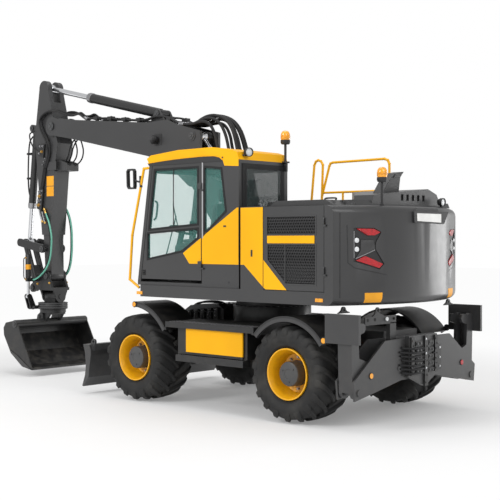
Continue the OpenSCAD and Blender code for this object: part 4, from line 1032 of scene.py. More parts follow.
def buildArmGear():
    for k, y in enumerate((0.06, -0.06)):
        line = [(x, y, z) for x, z in loopLong]
        joined = ("outer_boom", "dipper_arm", (4.10, 0, 3.66), (4.10, 0, 3.30))
        hose("arm_loop_long_" + str(k), line, hoseSet["small"], hoseRubber, joined)
        line = [(x, y * 0.5, z) for x, z in loopShort]
        joined = ("outer_boom", "dipper_arm", (4.24, 0, 3.66), (4.24, 0, 3.32))
        hose("arm_loop_short_" + str(k), line, hoseSet["small"], hoseRubber, joined)
    cheek = [(4.17, 3.185), (4.47, 3.185), (4.47, 3.345), (4.33, 3.345), (4.17, 3.30)]
    guard = Shape().plate(cheek, 0.100, 0.116).plate(cheek, -0.116, -0.100)
    guard.block(4.17, 4.45, -0.110, 0.110, 3.178, 3.194)
    guard.block(4.17, 4.185, -0.110, 0.110, 3.185, 3.29)
    for s in (1, -1):
        guard.block(4.36, 4.615, s * 0.1495, s * 0.163, 3.20, 3.335)
        guard.block(4.36, 4.385, s * 0.10, s * 0.163, 3.20, 3.335)
    guard.piece("arm_hose_collar", greyPaint, "dipper_arm", 0.005, slot="paint_grey")
    signs = Shape()
    for z in (2.79, 2.953):
        signs.block(4.462, 4.642, 0.1495, 0.1515, z, z + 0.154)
    signs.piece("arm_blank_signs", signOrange, "dipper_arm", 0.0006, slot="lamp_plastic")
    bank, brassBits, steelBits, bundle = Shape(), Shape(), Shape(), Shape()
    for s in (1, -1):
        bank.plate([(4.69, 2.90), (4.80, 2.92), (4.86, 2.60), (4.74, 2.56)], s * 0.150, s * 0.188)
        bank.plate([(4.66, 3.62), (4.83, 3.62), (4.83, 3.44), (4.70, 3.40)], s * 0.150, s * 0.178)
        for i, z in enumerate((2.865, 2.795, 2.725, 2.655)):
            x = 4.765 + 0.012 * i
            mark = brassBits if i in (1, 3) else steelBits
            mark.nut((x, s * 0.188, z), (0, s, 0), 0.021, 0.022)
            mark.disc(0.013, 0.016, (x, s * 0.209, z), (0, s, 0), 14)
            steelBits.nut((x - 0.05, s * 0.188, z + 0.01), (0, s, 0), 0.012, 0.014)
        for i, (x, z) in enumerate(((4.70, 3.585), (4.765, 3.585), (4.73, 3.50), (4.79, 3.475))):
            (steelBits if i != 2 else brassBits).nut((x, s * 0.178, z), (0, s, 0), 0.017, 0.024)
        for i in range(3):
            x = 4.655 + 0.033 * i
            steelBits.block(x, x + 0.022, s * 0.150, s * 0.172, 3.385 - 0.05 * i, 3.40 - 0.05 * i)
            bundle.tube([(4.63 + 0.03 * i, s * 0.166, 3.36 - 0.04 * i), (4.66 + 0.028 * i, s * 0.168, 3.15),
                         (4.70 + 0.026 * i, s * 0.17, 2.99), (4.728 + 0.022 * i, s * 0.172, 2.90)], 0.0115, 10,
                         6)
        for i in range(2):
            steelBits.tube([(4.80 - 0.075 * i, s * 0.178, 2.575 - 0.03 * i),
                            (4.755 - 0.075 * i, s * 0.180, 2.46 - 0.03 * i),
                            (4.72 - 0.07 * i, s * 0.18, 2.40 - 0.02 * i)], 0.013, 10, 4)
            brassBits.nut((4.722 - 0.07 * i, s * 0.18, 2.405 - 0.02 * i), (-0.3, 0, -0.95), 0.019, 0.03)
        bundle.tube([(4.94, s * 0.166, 3.84), (5.055, s * 0.172, 3.80), (5.04, s * 0.172, 3.69),
                     (4.95, s * 0.172, 3.57), (4.85, s * 0.172, 3.515), (4.79, s * 0.172, 3.50)], 0.0105, 10, 8)
    bank.piece("arm_valve_blocks", blackPaint, "dipper_arm", 0.004, slot="paint_black")
    brassBits.piece("arm_brass_fittings", brass, "dipper_arm", slot="cast_grey")
    steelBits.piece("arm_steel_fittings", steel, "dipper_arm", slot="cast_grey")
    bundle.piece("arm_pipe_bundle", hoseRubber, "dipper_arm", slot="trim_plastic")
    pipe = Shape()
    for y in (0.045, -0.045):
        pipe.tube([(5.165, y * 0.6, 3.78), (5.225, y, 3.70), (5.262, y, 3.52), (5.278, y, 3.16),
                   (5.262, y, 2.92), (5.238, y * 0.8, 2.80), (5.236, y * 0.6, 2.74)], 0.0125, 10, 6)
    for z in (3.50, 3.10):
        pipe.block(5.14 + (3.9 - z) * 0.114 - 0.02, 5.296, -0.062, 0.062, z - 0.016, z + 0.016)
    pipe.piece("bucket_ram_pipes", hoseRubber, "bucket_barrel", 0.002, slot="trim_plastic")


def buildGreenHoses():
    left = [(4.66, 0.172, 2.56), (4.600, 0.178, 2.47), (4.530, 0.184, 2.35), (4.470, 0.190, 2.16),
            (4.470, 0.194, 1.97), (4.500, 0.198, 1.80), (4.580, 0.206, 1.655), (4.700, 0.218, 1.545),
            (4.820, 0.238, 1.475), (4.895, 0.262, 1.462)]
    right = [(4.600, -0.172, 2.63), (4.530, -0.178, 2.55), (4.475, -0.186, 2.42), (4.440, -0.190, 2.24),
             (4.436, -0.192, 2.05), (4.444, -0.194, 1.90), (4.480, -0.198, 1.72), (4.560, -0.205, 1.58),
             (4.700, -0.22, 1.50), (4.820, -0.238, 1.470), (4.895, -0.262, 1.462)]
    ends = Shape()
    joined = ("dipper_arm", "tilt_frame", (4.52, 0, 1.95), (4.62, 0, 1.50))
    for name, points in (("left", left), ("right", right)):
        hose("tool_hose_" + name, points, hoseSet["green"], greenHose, joined)
        fitting(ends, points[0], points[1], hoseSet["green"])
        twin = [(x + 0.034, y + (0.003 if y > 0 else -0.003), z + 0.004) for x, y, z in points]
        hose("tool_hose_pair_" + name, twin, hoseSet["small"], hoseRubber, joined)
    ends.piece("tool_hose_fittings", brass, "dipper_arm", slot="cast_grey")


buildArch()
buildBoomPipes()
buildArmGear()
buildGreenHoses()
print("hoses built", cordLengths)


# cab trim, rear pane and locks

cabTrim = {"side": 1.2252, "proud": 0.0025, "rear": -0.5502}


def buildCabTrim():
    y = cabTrim["side"]
    arc = [(1.055, 3.080), (0.860, 3.094), (0.639, 3.106), (0.366, 3.116), (0.085, 3.121), (-0.140, 3.116),
           (-0.230, 3.098), (-0.285, 3.061)]
    band = Shape().plate([(-0.285, 3.050), (1.030, 3.050)] + arc, y, y + cabTrim["proud"])
    band.piece("cab_top_frame", trimPlastic, "house", 0.001, slot="trim_plastic")
    gutter = Shape().tube([(x, y + 0.004, z + 0.006) for x, z in arc], 0.005, 8, 4)
    gutter.piece("cab_roof_gutter", yellowPaint, "house", slot="paint_yellow")
    x = cabTrim["rear"]
    glass = Shape().slab([(0.440, 2.315), (1.120, 2.315), (1.120, 2.985), (0.440, 2.985)], x - 0.004,
                         x - 0.0005)
    glass.piece("cab_rear_pane", rearGlass, "house", 0.001, slot="cab_glass")
    trim = Shape()
    pane = [(0.400, 2.275), (1.165, 2.275), (1.165, 3.020), (0.400, 3.020)]
    ring(trim, pane, grown(pane, -0.045), x - 0.008, x + 0.0005, "x")
    trim.piece("cab_rear_pane_frame", sealRubber, "house", 0.003, slot="trim_plastic")
    locks = Shape().block(-0.342, -0.298, 1.2225, 1.2262, 2.256, 2.276)
    locks.disc(0.010, 0.004, (-0.383, 1.2198, 1.590), acrossY, 18)
    locks.disc(0.011, 0.005, (-0.285, 1.2250, 3.095), acrossY, 18)
    locks.piece("cab_locks", trimPlastic, "house", 0.002, slot="trim_plastic")
    print("cab trim built")


buildCabTrim()


# cab interior

seat = {"cloth": seatCloth, "lean": -0.12, "fill": 0.7, "wheel": 0.185, "wheelAxis": (-0.309, 0, 0.951)}
# centre and half sizes of each cushion, then its lean and roundness where they differ
cushions = {"seat_cushion": ((0.415, 0.775, 1.880), (0.245, 0.212, 0.050)),
            "seat_back": ((0.152, 0.775, 2.225), (0.056, 0.192, 0.335), seat["lean"], 0.5, 0.34),
            "seat_bolster_left": ((0.400, 0.960, 1.905), (0.215, 0.028, 0.034)),
            "seat_bolster_right": ((0.400, 0.590, 1.905), (0.215, 0.028, 0.034)),
            "seat_headrest": ((0.085, 0.775, 2.660), (0.040, 0.130, 0.085), seat["lean"], 0.5, 0.45),
            "armrest_left": ((0.400, 1.060, 2.085), (0.150, 0.042, 0.028)),
            "armrest_right": ((0.400, 0.490, 2.085), (0.150, 0.042, 0.028))}


def pillow(centre, half, lean=0.0, flat=0.32, crown=0.62):
    # a crowned closed cushion, boxy in plan and full in section
    n, m = 32, 14
    def bend(v, e): return math.copysign(abs(v) ** e, v)
    verts, faces = [], []
    for j in range(1, m):
        v = -math.pi / 2 + math.pi * j / m
        for i in range(n):
            u = 2 * math.pi * i / n
            wide = bend(math.cos(v), crown)
            verts.append((half[0] * wide * bend(math.cos(u), flat), half[1] * wide * bend(math.sin(u), flat),
                          half[2] * bend(math.sin(v), crown)))
    verts += [(0, 0, -half[2]), (0, 0, half[2])]
    low, high = len(verts) - 2, len(verts) - 1
    for j in range(m - 2):
        faces += [(j * n + i, j * n + (i + 1) % n, (j + 1) * n + (i + 1) % n, (j + 1) * n + i)
                  for i in range(n)]
    faces += [(low, (i + 1) % n, i) for i in range(n)]
    faces += [(high, (m - 2) * n + i, (m - 2) * n + (i + 1) % n) for i in range(n)]
    c, s = math.cos(lean), math.sin(lean)
    turned = [(centre[0] + p[0] * c + p[2] * s, centre[1] + p[1], centre[2] - p[0] * s + p[2] * c)
              for p in verts]
    return Shape().add(turned, faces)


def buildInterior():
    stand = Shape()
    for k in range(6):  # bellows under the seat
        e = 0.0 if k % 2 else 0.016
        stand.block(0.205 + e, 0.555 - e, 0.625 + e, 0.925 - e, 1.600 + 0.034 * k, 1.634 + 0.034 * k)
    stand.block(0.20, 0.56, 0.62, 0.93, 1.562, 1.602)
    made = stand.piece("seat_stand", trimPlastic, "house", 0.006, slot="trim_plastic")
    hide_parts("cab_interior")
    pan = Shape().block(0.155, 0.650, 0.565, 0.985, 1.800, 1.835)
    pan.plate([(0.110, 1.850), (0.150, 1.850), (0.085, 2.550), (0.052, 2.550)], 0.585, 0.965)
    for y in (0.70, 0.85):
        pan.tube([(0.085, y, 2.53), (0.070, y, 2.60)], 0.008, 8)
    pan.piece("seat_pan", trimPlastic, "house", 0.008, slot="trim_plastic")
    for name, form in cushions.items():
        pillow(*form).piece(name, seat["cloth"], "house", sharp=60.0, slot="trim_plastic")
    desk, sticks = Shape(), Shape()
    for y in (0.44, 1.01):
        desk.plate([(0.260, 1.880), (0.300, 1.860), (0.640, 1.860), (0.680, 1.930), (0.672, 2.030),
                    (0.560, 2.060), (0.260, 2.058)], y, y + 0.100)
        sticks.lathe([(0.044, 0.0), (0.040, 0.012), (0.036, 0.020), (0.033, 0.030), (0.028, 0.038),
                      (0.022, 0.050), (0.013, 0.058)], (0.620, y + 0.05, 2.040), (0.12, 0, 1), 24)
        sticks.tube([(0.622, y + 0.05, 2.085), (0.626, y + 0.05, 2.125), (0.624, y + 0.05, 2.165),
                     (0.634, y + 0.05, 2.198)], 0.017, 12, 5)
        sticks.disc(0.022, 0.020, (0.634, y + 0.05, 2.190), (0.15, 0, 1), 20)
        for k in range(3):
            sticks.disc(0.009, 0.006, (0.45 + 0.045 * k, y + 0.085 if y > 0.7 else y + 0.015, 2.056), upZ, 14)
    desk.block(0.300, 0.500, 0.540, 1.010, 1.842, 1.868)
    desk.piece("arm_consoles", trimPlastic, "house", 0.010, slot="trim_plastic")
    sticks.piece("joysticks", sealRubber, "house", slot="trim_plastic")
    column = Shape().plate([(0.985, 1.575), (1.042, 1.575), (1.020, 1.90), (0.925, 2.205), (0.862, 2.195),
                            (0.955, 1.90)], 0.748, 0.802)
    column.lathe([(0.0001, -0.05), (0.030, -0.05), (0.042, -0.02), (0.042, 0.012), (0.030, 0.020),
                  (0.0001, 0.022)], (0.885, 0.775, 2.222), seat["wheelAxis"], 28)
    for y in (0.640, 0.830):  # foot pedals
        column.plate([(1.005, 1.562), (1.140, 1.562), (1.165, 1.640), (1.120, 1.652)], y, y + 0.080)
    column.piece("steering_column", trimPlastic, "house", 0.006, slot="trim_plastic")
    hoop = Shape()
    r = seat["wheel"] - 0.016
    hoop.lathe([(r + 0.016 * math.cos(a), 0.014 + 0.016 * math.sin(a)) for a in around(14) + [2 * math.pi]],
               (0.885, 0.775, 2.218), seat["wheelAxis"], 48)
    for a in (0.3, 2.4, 4.5):
        d = Vector((math.cos(a) * 0.951, math.sin(a), math.cos(a) * 0.309))
        hoop.tube([Vector((0.885, 0.775, 2.228)) + d * 0.03, Vector((0.881, 0.775, 2.230)) + d * 0.165], 0.010,
                  8)
    hoop.lathe([(0.0001, 0.055), (0.012, 0.052), (0.020, 0.040), (0.016, 0.026), (0.008, 0.014)],
               (0.800, 0.905, 2.190), seat["wheelAxis"], 18)
    hoop.piece("steering_wheel", sealRubber, "house", slot="trim_plastic")
    screen = Shape().plate([(0.930, 2.180), (0.955, 2.180), (0.930, 2.350), (0.905, 2.350)], 0.410, 0.600)
    screen.tube([(0.99, 0.380, 2.240), (0.955, 0.42, 2.250)], 0.012, 8)
    screen.piece("cab_screen", trimPlastic, "house", 0.005, slot="trim_plastic")
    mat = Shape().block(-0.500, 1.190, 0.380, 1.175, 1.5622, 1.5665)
    for k in range(18):
        mat.block(0.60 + 0.03 * k, 0.612 + 0.03 * k, 0.45, 1.11, 1.5660, 1.5690)
    mat.piece("cab_floor_mat", sealRubber, "house", slot="trim_plastic")
    liner = Shape().block(-0.490, 0.960, 0.380, 1.175, 3.040, 3.059)
    liner.block(-0.500, -0.470, 0.470, 1.085, 1.580, 2.300)
    liner.piece("cab_liner", trimPlastic, "house", 0.006, slot="trim_plastic")
    print("interior built")


buildInterior()


# hood slots and exhaust

hood = {"tail": -2.0, "slots": 5}


def buildHood():
    # near-black plates at the slot bottoms are painted shade inside the slots
    slotShade = Shape()
    for i in range(hood["slots"]):
        y = -0.065 - 0.112 * i
        slotShade.block(hood["tail"] + 0.021, hood["tail"] + 0.0245, y - 0.0245, y + 0.0245, 2.5690, 2.6410)
    slotShade.piece("hood_slot_shade", cavityBlack, "engine_hood", slot="paint_black")
    outline = [(0.083, 2.640), (-0.255, 2.640), (-0.296, 2.857), (-0.359, 2.927), (-0.202, 2.902),
               (-0.130, 2.860), (-0.040, 2.785)]
    pipe = Shape().slab(grown(outline, 0.003), -1.8135, -1.6665)
    pipe.slab([(-0.140, 2.845), (-0.280, 2.855), (-0.362, 2.931), (-0.205, 2.907)], -1.822, -1.658)
    pipe.piece("exhaust_cover", blackPaint, "engine_hood", 0.006, slot="paint_black")
    grips = Shape()
    for y in (0.95, -0.95):
        grips.tube([(-1.80, y, 2.553), (-1.80, y, 2.575), (-1.66, y, 2.575), (-1.64, y, 2.553)], 0.010, 8, 4)
    grips.piece("hood_grips", trimPlastic, "engine_hood", slot="trim_plastic")
    print("hood built")


buildHood()


# rear valve block, its pipes and the bracket beside it

valve = {"face": -2.335, "pipe": 0.0115}


def eyeLug(shape, y, low, high, hole, x0, x1):
    # a lifting eye: a flat foot, a round head and a hole
    mid, r = high - 0.036, 0.036
    turns = [k * math.pi / 8 for k in range(16)]
    head = [(y + r * math.cos(a), mid + r * math.sin(a)) for a in turns[:9]]
    foot = [(y - 0.060, low + 0.022), (y - 0.105, low + 0.010), (y - 0.105, low), (y - 0.045, low),
            (y + 0.045, low), (y + 0.105, low), (y + 0.060, low + 0.022)]
    eye = [(y + hole * math.cos(a), mid + hole * math.sin(a)) for a in turns]
    return ring(shape, head + foot, eye, x0, x1, "x")


def buildValves():
    x = valve["face"]
    blocks, bits, lines, bright = Shape(), Shape(), Shape(), Shape()
    for k, (y, wide, low, high) in enumerate(((0.225, 0.030, 0.545, 0.985), (-0.052, 0.034, 0.405, 0.990),
                                              (-0.262, 0.032, 0.560, 0.985))):
        blocks.block(x - 0.022, x + 0.002, y - wide, y + wide, low, high)
        for i in range(7):
            z = low + 0.04 + (high - low - 0.08) * i / 6
            # three nuts on the middle block are bright metal as painted glints; the others stay black
            mark = bright if k == 1 and i in (2, 4, 6) else blocks
            mark.nut((x - 0.022, y + 0.012 * (-1) ** i, z), backX, 0.011 if mark is bright else 0.009, 0.007)
    for z in (0.585, 0.665, 0.745, 0.825, 0.905):
        blocks.block(x - 0.018, x + 0.002, 0.030, 0.165, z - 0.026, z + 0.026)
        bits.disc(0.017, 0.010, (x - 0.018, 0.130, z), backX, 18)
        bits.nut((x - 0.018, 0.068, z), backX, 0.015, 0.009)
        blocks.block(x - 0.018, x + 0.002, -0.205, -0.105, z - 0.030, z + 0.024)
        bits.nut((x - 0.018, -0.130, z), backX, 0.013, 0.008)
        bits.disc(0.013, 0.010, (x - 0.018, -0.180, z - 0.004), backX, 16)
    for i, z in enumerate((0.565, 0.610, 0.655, 0.710, 0.755, 0.800, 0.850)):
        lines.tube([(x - 0.016, 0.020 - 0.03 * (i % 2), z), (x - 0.030, 0.120, z + 0.003),
                    (x - 0.026, 0.240, z + 0.004), (x + 0.014, 0.318, z + 0.012),
                    (x + 0.046, 0.360 + 0.02 * (i % 3), z + 0.020)], valve["pipe"], 10, 5)
        bits.nut((x - 0.016, 0.022 - 0.03 * (i % 2), z), (0, -1, 0), 0.014, 0.016)
    for z in (0.62, 0.70, 0.80):
        lines.tube([(x - 0.008, -0.105, z), (x - 0.014, -0.085, z + 0.01), (x - 0.010, -0.030, z + 0.03),
                    (x - 0.008, 0.030, z + 0.02)], 0.009, 8, 5)
        lines.tube([(x - 0.008, -0.200, z - 0.02), (x - 0.012, -0.250, z - 0.03),
                    (x + 0.012, -0.315, z - 0.05), (x + 0.048, -0.345, z - 0.06)], 0.010, 8, 5)
    blocks.block(x + 0.040, x + 0.056, -0.455, -0.340, 0.560, 0.860)
    # the bright bolts here are painted glints too
    for z in (0.600, 0.705, 0.820):
        bright.nut((x + 0.040, -0.425, z), backX, 0.011, 0.008)
    for i in range(5):
        bits.nut((x + 0.040, -0.372, 0.600 + 0.055 * i), backX, 0.009, 0.008)
    blocks.piece("rear_valves", blackPaint, "chassis", 0.003, slot="paint_black")
    bits.piece("rear_valve_fittings", castGrey, "chassis", slot="cast_grey")
    bright.piece("rear_valve_glint_bolts", metalBright, "chassis", slot="cast_grey")
    lines.piece("rear_valve_pipes", hoseRubber, "chassis", slot="trim_plastic")
    bar = Shape()
    bar.slab([(0.360, 1.150), (0.950, 1.150), (0.950, 1.245), (0.360, 1.245)], -2.215, -2.195)
    bar.block(-2.215, -2.160, 0.360, 0.480, 0.965, 1.165)
    eyeLug(bar, 0.709, 1.243, 1.346, 0.016, -2.214, -2.196)
    bar.piece("rear_light_bar", blackPaint, "chassis", 0.004, slot="paint_black")
    for s, name in sides:
        eye = eyeLug(Shape(), s * 1.066, 1.286, 1.360, 0.014, -2.012, -1.988)
        eye.piece("leg_lifting_eye_" + name, blackPaint, "stabiliser_leg_" + name, 0.002, slot="paint_black")
    # the near-black discs on the bar are painted shade in its holes
    dark, clear = Shape(), Shape()
    for y in (0.900, 0.766):
        dark.disc(0.019, 0.003, (-2.2145, y, 1.210), backX, 20)
    clear.disc(0.024, 0.016, (-2.215, 0.550, 1.207), backX, 20)
    dark.nut((-2.215, 0.402, 1.206), backX, 0.013, 0.012)
    dark.piece("rear_light_bar_holes", cavityBlack, "chassis", slot="paint_black")
    clear.piece("rear_light_bar_lamps", clearLens, "chassis", slot="lamp_plastic")
    print("valves built")


buildValves()


# pin caps, ram collars and step treads

# body, x, z, distance of the cap from the middle plane, radius
pins = {"foot": ("house", 0.330, 1.850, 0.210, 0.060),
        "knee": ("outer_boom", 1.300, 2.980, 0.214, 0.062),
        "arm_pin": ("outer_boom", 4.450, 3.880, 0.214, 0.062),
        "lift_base": ("house", 1.300, 1.450, 0.326, 0.048),
        "rock_arm": ("dipper_arm", 4.700, 1.960, 0.212, 0.048),
        "tip": ("tilt_frame", 4.640, 1.530, 0.176, 0.052),
        "crowd_base": ("outer_boom", 2.100, 3.905, 0.118, 0.046),
        "curl_base": ("dipper_arm", 5.090, 3.900, 0.112, 0.044),
        "link_end": ("tilt_frame", 5.000, 1.330, 0.176, 0.044),
        "adjust_eye": ("outer_boom", 1.301, 3.530, 0.208, 0.050)}
# base pin, rod eye, offsets from the middle plane, barrel length, barrel radius, rod radius
rams = {"lift_barrels": ((1.300, 1.450), (0.638, 2.696), (0.24, -0.24), 0.900, 0.056, 0.034),
        "adjust_barrel": ((0.330, 2.420), (1.301, 3.530), (0.0,), 0.900, 0.072, 0.042),
        "arm_barrel": ((2.100, 3.905), (4.715, 4.510), (0.0,), 1.690, 0.072, 0.042),
        "bucket_barrel": ((5.090, 3.900), (5.300, 2.060), (0.0,), 1.290, 0.060, 0.036),
        "blade_barrels": ((1.540, 0.900), (2.120, 0.520), (0.10, -0.10), 0.500, 0.050, 0.028)}


def buildPins():
    for name, (body, x, z, y, r) in pins.items():
        caps = Shape()
        for s in (1, -1):
            way, out = (0, s, 0), s * (y + 0.008)
            caps.disc(r, 0.008, (x, s * y, z), way, 32, 0.3)
            caps.nut((x, out, z), way, r * 0.26, 0.010)
            for k in range(4):
                a = math.pi * (k / 2 + 0.25)
                caps.nut((x + math.cos(a) * r * 0.66, out, z + math.sin(a) * r * 0.66), way, 0.007, 0.007)
        caps.piece("pin_caps_" + name, castGrey, body, slot="cast_grey")
    for body, (a, b, ys, length, r, rod) in rams.items():
        way = Vector((b[0] - a[0], 0, b[1] - a[1])).normalized()
        collars = Shape()
        for y in ys:
            end = Vector((a[0], y, a[1])) + way * length
            collars.lathe([(r - 0.001, -0.085), (r + 0.006, -0.082), (r + 0.006, -0.020), (r + 0.003, -0.016),
                           (r + 0.003, -0.004), (r - 0.004, 0.004), (rod + 0.003, 0.004)], end, way, 36)
            for turn in around(8):
                side = Vector(acrossY) * math.cos(turn) + way.cross(Vector(acrossY)) * math.sin(turn)
                collars.nut(end + side * (r - 0.013) + way * 0.003, way, 0.006, 0.006)
        collars.piece("ram_collar_" + body, steel, body, slot="cast_grey")


tread = {"studs": 44, "studPitch": 0.033, "bars": 33, "barPitch": 0.034, "dotPitch": 0.045}


def buildTreads():
    grip = Shape()
    for s in (1, -1):
        for i in range(tread["studs"]):
            for j in range(5):
                x, y = -0.755 + tread["studPitch"] * i, 1.070 + 0.038 * j + 0.019 * (i % 2)
                if y > 1.238:
                    continue
                grip.prism([(x - 0.011, s * y), (x, s * (y - 0.006)), (x + 0.011, s * y),
                            (x, s * (y + 0.006))], 1.0695, 1.0735, "z")
        for i in range(tread["bars"]):
            x = -0.590 + tread["barPitch"] * i
            grip.prism([(x - 0.006, s * 1.105), (x + 0.006, s * 1.105), (x + 0.006, s * 1.215),
                        (x - 0.006, s * 1.215)], 0.6595, 0.6635, "z")
    grip.piece("step_treads", steel, "chassis", slot="cast_grey")
    mats = Shape()
    for x0, x1, z in ((0.50, 0.75, 2.1395), (0.78, 1.10, 1.8995)):
        mats.block(x0, x1, -1.225, -0.505, z, z + 0.004)
        for i in range(int((x1 - x0) / tread["dotPitch"])):
            for j in range(15):
                mats.disc(0.010, 0.005, (x0 + 0.03 + tread["dotPitch"] * i, -1.20 + 0.047 * j, z + 0.003), upZ,
                          8)
    mats.piece("house_treads", trimPlastic, "house", slot="trim_plastic")
    tank = Shape().lathe([(0.0001, 0.060), (0.035, 0.058), (0.050, 0.050), (0.054, 0.030), (0.054, 0.008),
                          (0.064, 0.006), (0.064, 0.0)], (-0.42, -0.70, 2.4195), upZ, 28)
    tank.lathe([(0.0001, 0.050), (0.030, 0.048), (0.042, 0.040), (0.044, 0.006), (0.052, 0.004), (0.052, 0.0)],
               (0.12, -0.62, 2.3295), upZ, 28)
    tank.piece("filler_caps", trimPlastic, "house", slot="trim_plastic")
    # near-black lines in the panel gaps and dots for the lock holes are painted shade
    seams = Shape()
    for x0, x1, z0, z1 in ((-0.225, 0.215, 1.56, 2.29), (0.255, 0.455, 1.56, 2.10)):
        outer = [(x0, z0), (x1, z0), (x1, z1), (x0, z1)]
        x0, x1, z0, z1 = x0 + 0.005, x1 - 0.005, z0 + 0.005, z1 - 0.005
        ring(seams, outer, [(x0, z0), (x1, z0), (x1, z1), (x0, z1)], -1.2462, -1.2448)
    for x, z in ((0.185, 1.92), (0.43, 1.82)):
        seams.disc(0.016, 0.005, (x, -1.2448, z), (0, -1, 0), 18)
    seams.piece("tank_side_seams", cavityBlack, "house", slot="paint_black")
    print("treads built")


buildPins()
buildTreads()


# fender lips, valve box, slew ring bolts, shaft joints and boom foot hoses

fender = {"lip": 0.070, "out": 1.2495, "sheet": 0.006, "fold": 0.028}
frontValve = {"sections": 5, "pitch": 0.125, "fall": 0.012}
under = {"ringBolts": 36, "ringRadius": 0.475, "shaftZ": 0.600}


def buildFenderLips():
    # the folded edge along the outside of each fender
    lips = Shape()
    for s in (1, -1):
        for x, r, a0, a1 in ((axleX, 0.736, 92.5, 146.0), (-axleX, 0.666, 40.5, 144.5)):
            turns = [math.radians(a0 + (a1 - a0) * k / 40) for k in range(41)]
            inner = r - fender["lip"]
            for outer, deep in ((r, fender["sheet"]), (inner + fender["sheet"], fender["fold"])):
                edge = [(x + inner * math.cos(a), axleZ + inner * math.sin(a)) for a in turns]
                top = [(x + outer * math.cos(a), axleZ + outer * math.sin(a)) for a in turns]
                for k in range(40):
                    lips.plate([edge[k], edge[k + 1], top[k + 1], top[k]], s * (fender["out"] - deep),
                               s * fender["out"])
    lips.piece("fender_lips", greyPaint, "chassis", slot="paint_grey")


def buildFrontValves():
    box = Shape().plate([(0.575, 1.035), (1.330, 1.035), (1.310, 1.150), (1.200, 1.215), (0.980, 1.240),
                         (0.660, 1.245), (0.575, 1.190)], -0.300, 0.325)
    bits, lines = Shape(), Shape()
    for i in range(frontValve["sections"]):
        along, fall = frontValve["pitch"] * i, frontValve["fall"] * i
        box.block(0.640 + along, 0.715 + along, 0.320, 0.372, 1.050, 1.205 - fall)
        x = 0.678 + along
        bits.nut((x, 0.372, 1.165 - fall), acrossY, 0.014, 0.020)
        bits.nut((x, 0.372, 1.100), acrossY, 0.012, 0.014)
        lines.tube([(x, 0.395, 1.165 - fall), (x + 0.03, 0.425, 1.15), (x + 0.06, 0.440, 1.10),
                    (x + 0.07, 0.420, 1.045)], 0.012, 10, 5)
        bits.disc(0.022, 0.030, (x, 0.10, 1.236 - fall), upZ, 20)
    lines.tube([(0.60, 0.20, 1.20), (0.70, 0.20, 1.262), (0.90, 0.19, 1.272), (1.10, 0.18, 1.255),
                (1.24, 0.17, 1.205)], 0.014, 10, 6)
    lines.tube([(0.60, 0.26, 1.19), (0.72, 0.26, 1.258), (0.92, 0.25, 1.266), (1.14, 0.24, 1.238),
                (1.28, 0.22, 1.170)], 0.014, 10, 6)
    box.piece("front_valve_box", blackPaint, "chassis", 0.006, slot="paint_black")
    bits.piece("front_valve_fittings", steel, "chassis", slot="cast_grey")
    lines.piece("front_valve_pipes", hoseRubber, "chassis", slot="trim_plastic")


def buildUnder():
    bolts = Shape()
    r = under["ringRadius"]
    for a in around(under["ringBolts"]):
        bolts.nut((r * math.cos(a), r * math.sin(a), 1.2535), upZ, 0.013, 0.004)
    bolts.piece("slew_ring_bolts", steel, "chassis", slot="cast_grey")
    joints = Shape()
    for x in (-0.64, 0.10, 1.06):
        joints.lathe([(0.042, -0.05), (0.062, -0.046), (0.066, -0.018), (0.056, 0.0), (0.066, 0.018),
                      (0.062, 0.046), (0.042, 0.05)], (x, 0, under["shaftZ"]), alongX, 24)
        joints.disc(0.018, 0.14, (x, -0.07, under["shaftZ"]), acrossY, 16)
        joints.disc(0.018, 0.14, (x, 0, 0.530), upZ, 16)
    joints.piece("shaft_joints", castGrey, "chassis", slot="cast_grey")
    for k, (y, top) in enumerate(((0.066, 0.070), (0.024, 0.024), (-0.024, -0.024), (-0.066, -0.070))):
        line = [(-0.130, y, 1.524), (-0.165, y, 1.640), (-0.170, y, 1.760), (-0.130, y, 1.890),
                (-0.050, y, 1.985), (0.060, top, 2.040), (0.160, top, 2.052), (0.252, top, 2.052)]
        hose("foot_hose_" + str(k), line, hoseSet["mid"], hoseRubber,
             ("house", "base_boom", (0.0, 0, 1.90), (0.20, 0, 2.10)))
    pads = Shape()
    for s in (1, -1):
        for y in (0.30, 0.62, 0.94, 1.20):
            for z in (0.150, 0.235):
                pads.nut((2.352 - (z - 0.105) * 0.40, s * y, z), (0.92, 0, 0.37), 0.014, 0.010)
    pads.piece("blade_edge_bolts", steel, "dozer_blade", slot="cast_grey")
    print("under built")


buildFenderLips()
buildFrontValves()
buildUnder()


# tool head and bucket details

tool = {"turnX": 4.685, "tiltX": 4.930, "tubeX": 4.742, "tubeZ": 0.790, "half": 0.690}


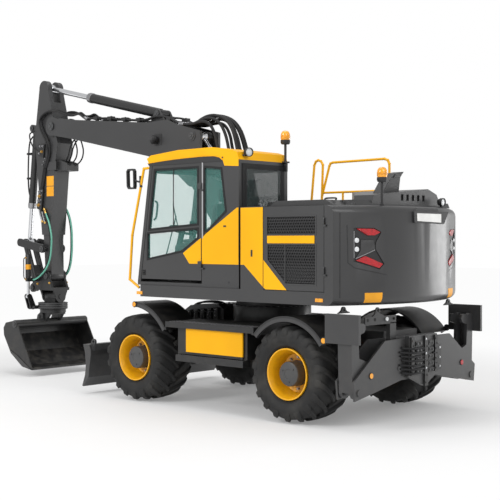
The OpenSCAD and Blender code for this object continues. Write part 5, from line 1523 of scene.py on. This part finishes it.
def buildTool():
    x, tubeX, tubeZ, half = tool["tiltX"], tool["tubeX"], tool["tubeZ"], tool["half"]
    rings = Shape()
    for z in (1.094, 1.060, 1.026):
        rings.lathe([(0.228, -0.009), (0.236, -0.006), (0.236, 0.006), (0.228, 0.009)], (tool["turnX"], 0, z),
                    upZ, 56)
    for a in around(18):
        rings.nut((tool["turnX"] + 0.205 * math.cos(a), 0.205 * math.sin(a), 1.098), upZ, 0.009, 0.009)
    rings.piece("rotor_rings", castGrey, "rotor_housing", slot="cast_grey")
    tags, brassBits, lines = Shape(), Shape(), Shape()
    for s in (1, -1):
        tags.lathe([(0.0445, 1.63), (0.0465, 1.632), (0.0465, 1.708), (0.0445, 1.71)], (x, s * 0.300, 0.0),
                   upZ, 28)
        brassBits.nut((x, s * 0.345, 1.815), (0, s, 0), 0.014, 0.020)
        brassBits.nut((x, s * 0.345, 1.475), (0, s, 0), 0.014, 0.020)
        lines.tube([(x, s * 0.362, 1.815), (x, s * 0.385, 1.79), (x, s * 0.385, 1.66), (x, s * 0.385, 1.52),
                    (x, s * 0.365, 1.480)], 0.008, 8, 5)
        brassBits.nut((4.86, s * 0.168, 1.40), (0, s, 0), 0.015, 0.018)
        brassBits.nut((4.55, s * 0.168, 1.42), (0, s, 0), 0.015, 0.018)
    tags.piece("tilt_ram_tags", signOrange, "tilt_frame", slot="lamp_plastic")
    brassBits.piece("tilt_brass_fittings", brass, "tilt_frame", slot="cast_grey")
    lines.piece("tilt_ram_pipes", hoseRubber, "tilt_frame", slot="trim_plastic")
    ends = Shape()
    for s in (1, -1):
        ends.disc(0.060, 0.012, (tubeX, s * half, tubeZ), (0, s, 0), 36, 0.4)
        ends.disc(0.030, 0.016, (tubeX, s * 0.698, tubeZ), (0, s, 0), 24, 0.3)
        # wear plates
        ends.plate([(4.300, 0.108), (4.545, 0.146), (4.840, 0.335), (4.870, 0.385), (4.660, 0.300),
                    (4.420, 0.170)], s * half, s * 0.700)
    ends.lathe([(0.030, -half), (0.062, -half), (0.062, half), (0.030, half)], (tubeX, 0, tubeZ), acrossY, 40)
    ends.piece("bucket_end_caps", greyPaint, "tool", 0.002, slot="paint_black")
    edge = Shape().plate([(4.286, 0.104), (4.400, 0.119), (4.400, 0.1255), (4.310, 0.122)], -half, half)
    edge.piece("bucket_cutting_edge", steel, "tool", slot="cast_grey")
    hooks = Shape()
    for s in (1, -1):
        hooks.plate([(4.70, 0.800), (4.88, 0.820), (4.86, 0.900), (4.80, 0.940), (4.72, 0.930)], s * 0.154,
                    s * 0.176)
        hooks.nut((4.80, s * 0.176, 0.880), (0, s, 0), 0.022, 0.014)
    hooks.piece("bucket_hook_plates", blackPaint, "tool", 0.003, slot="paint_black")
    print("tool built")


buildTool()
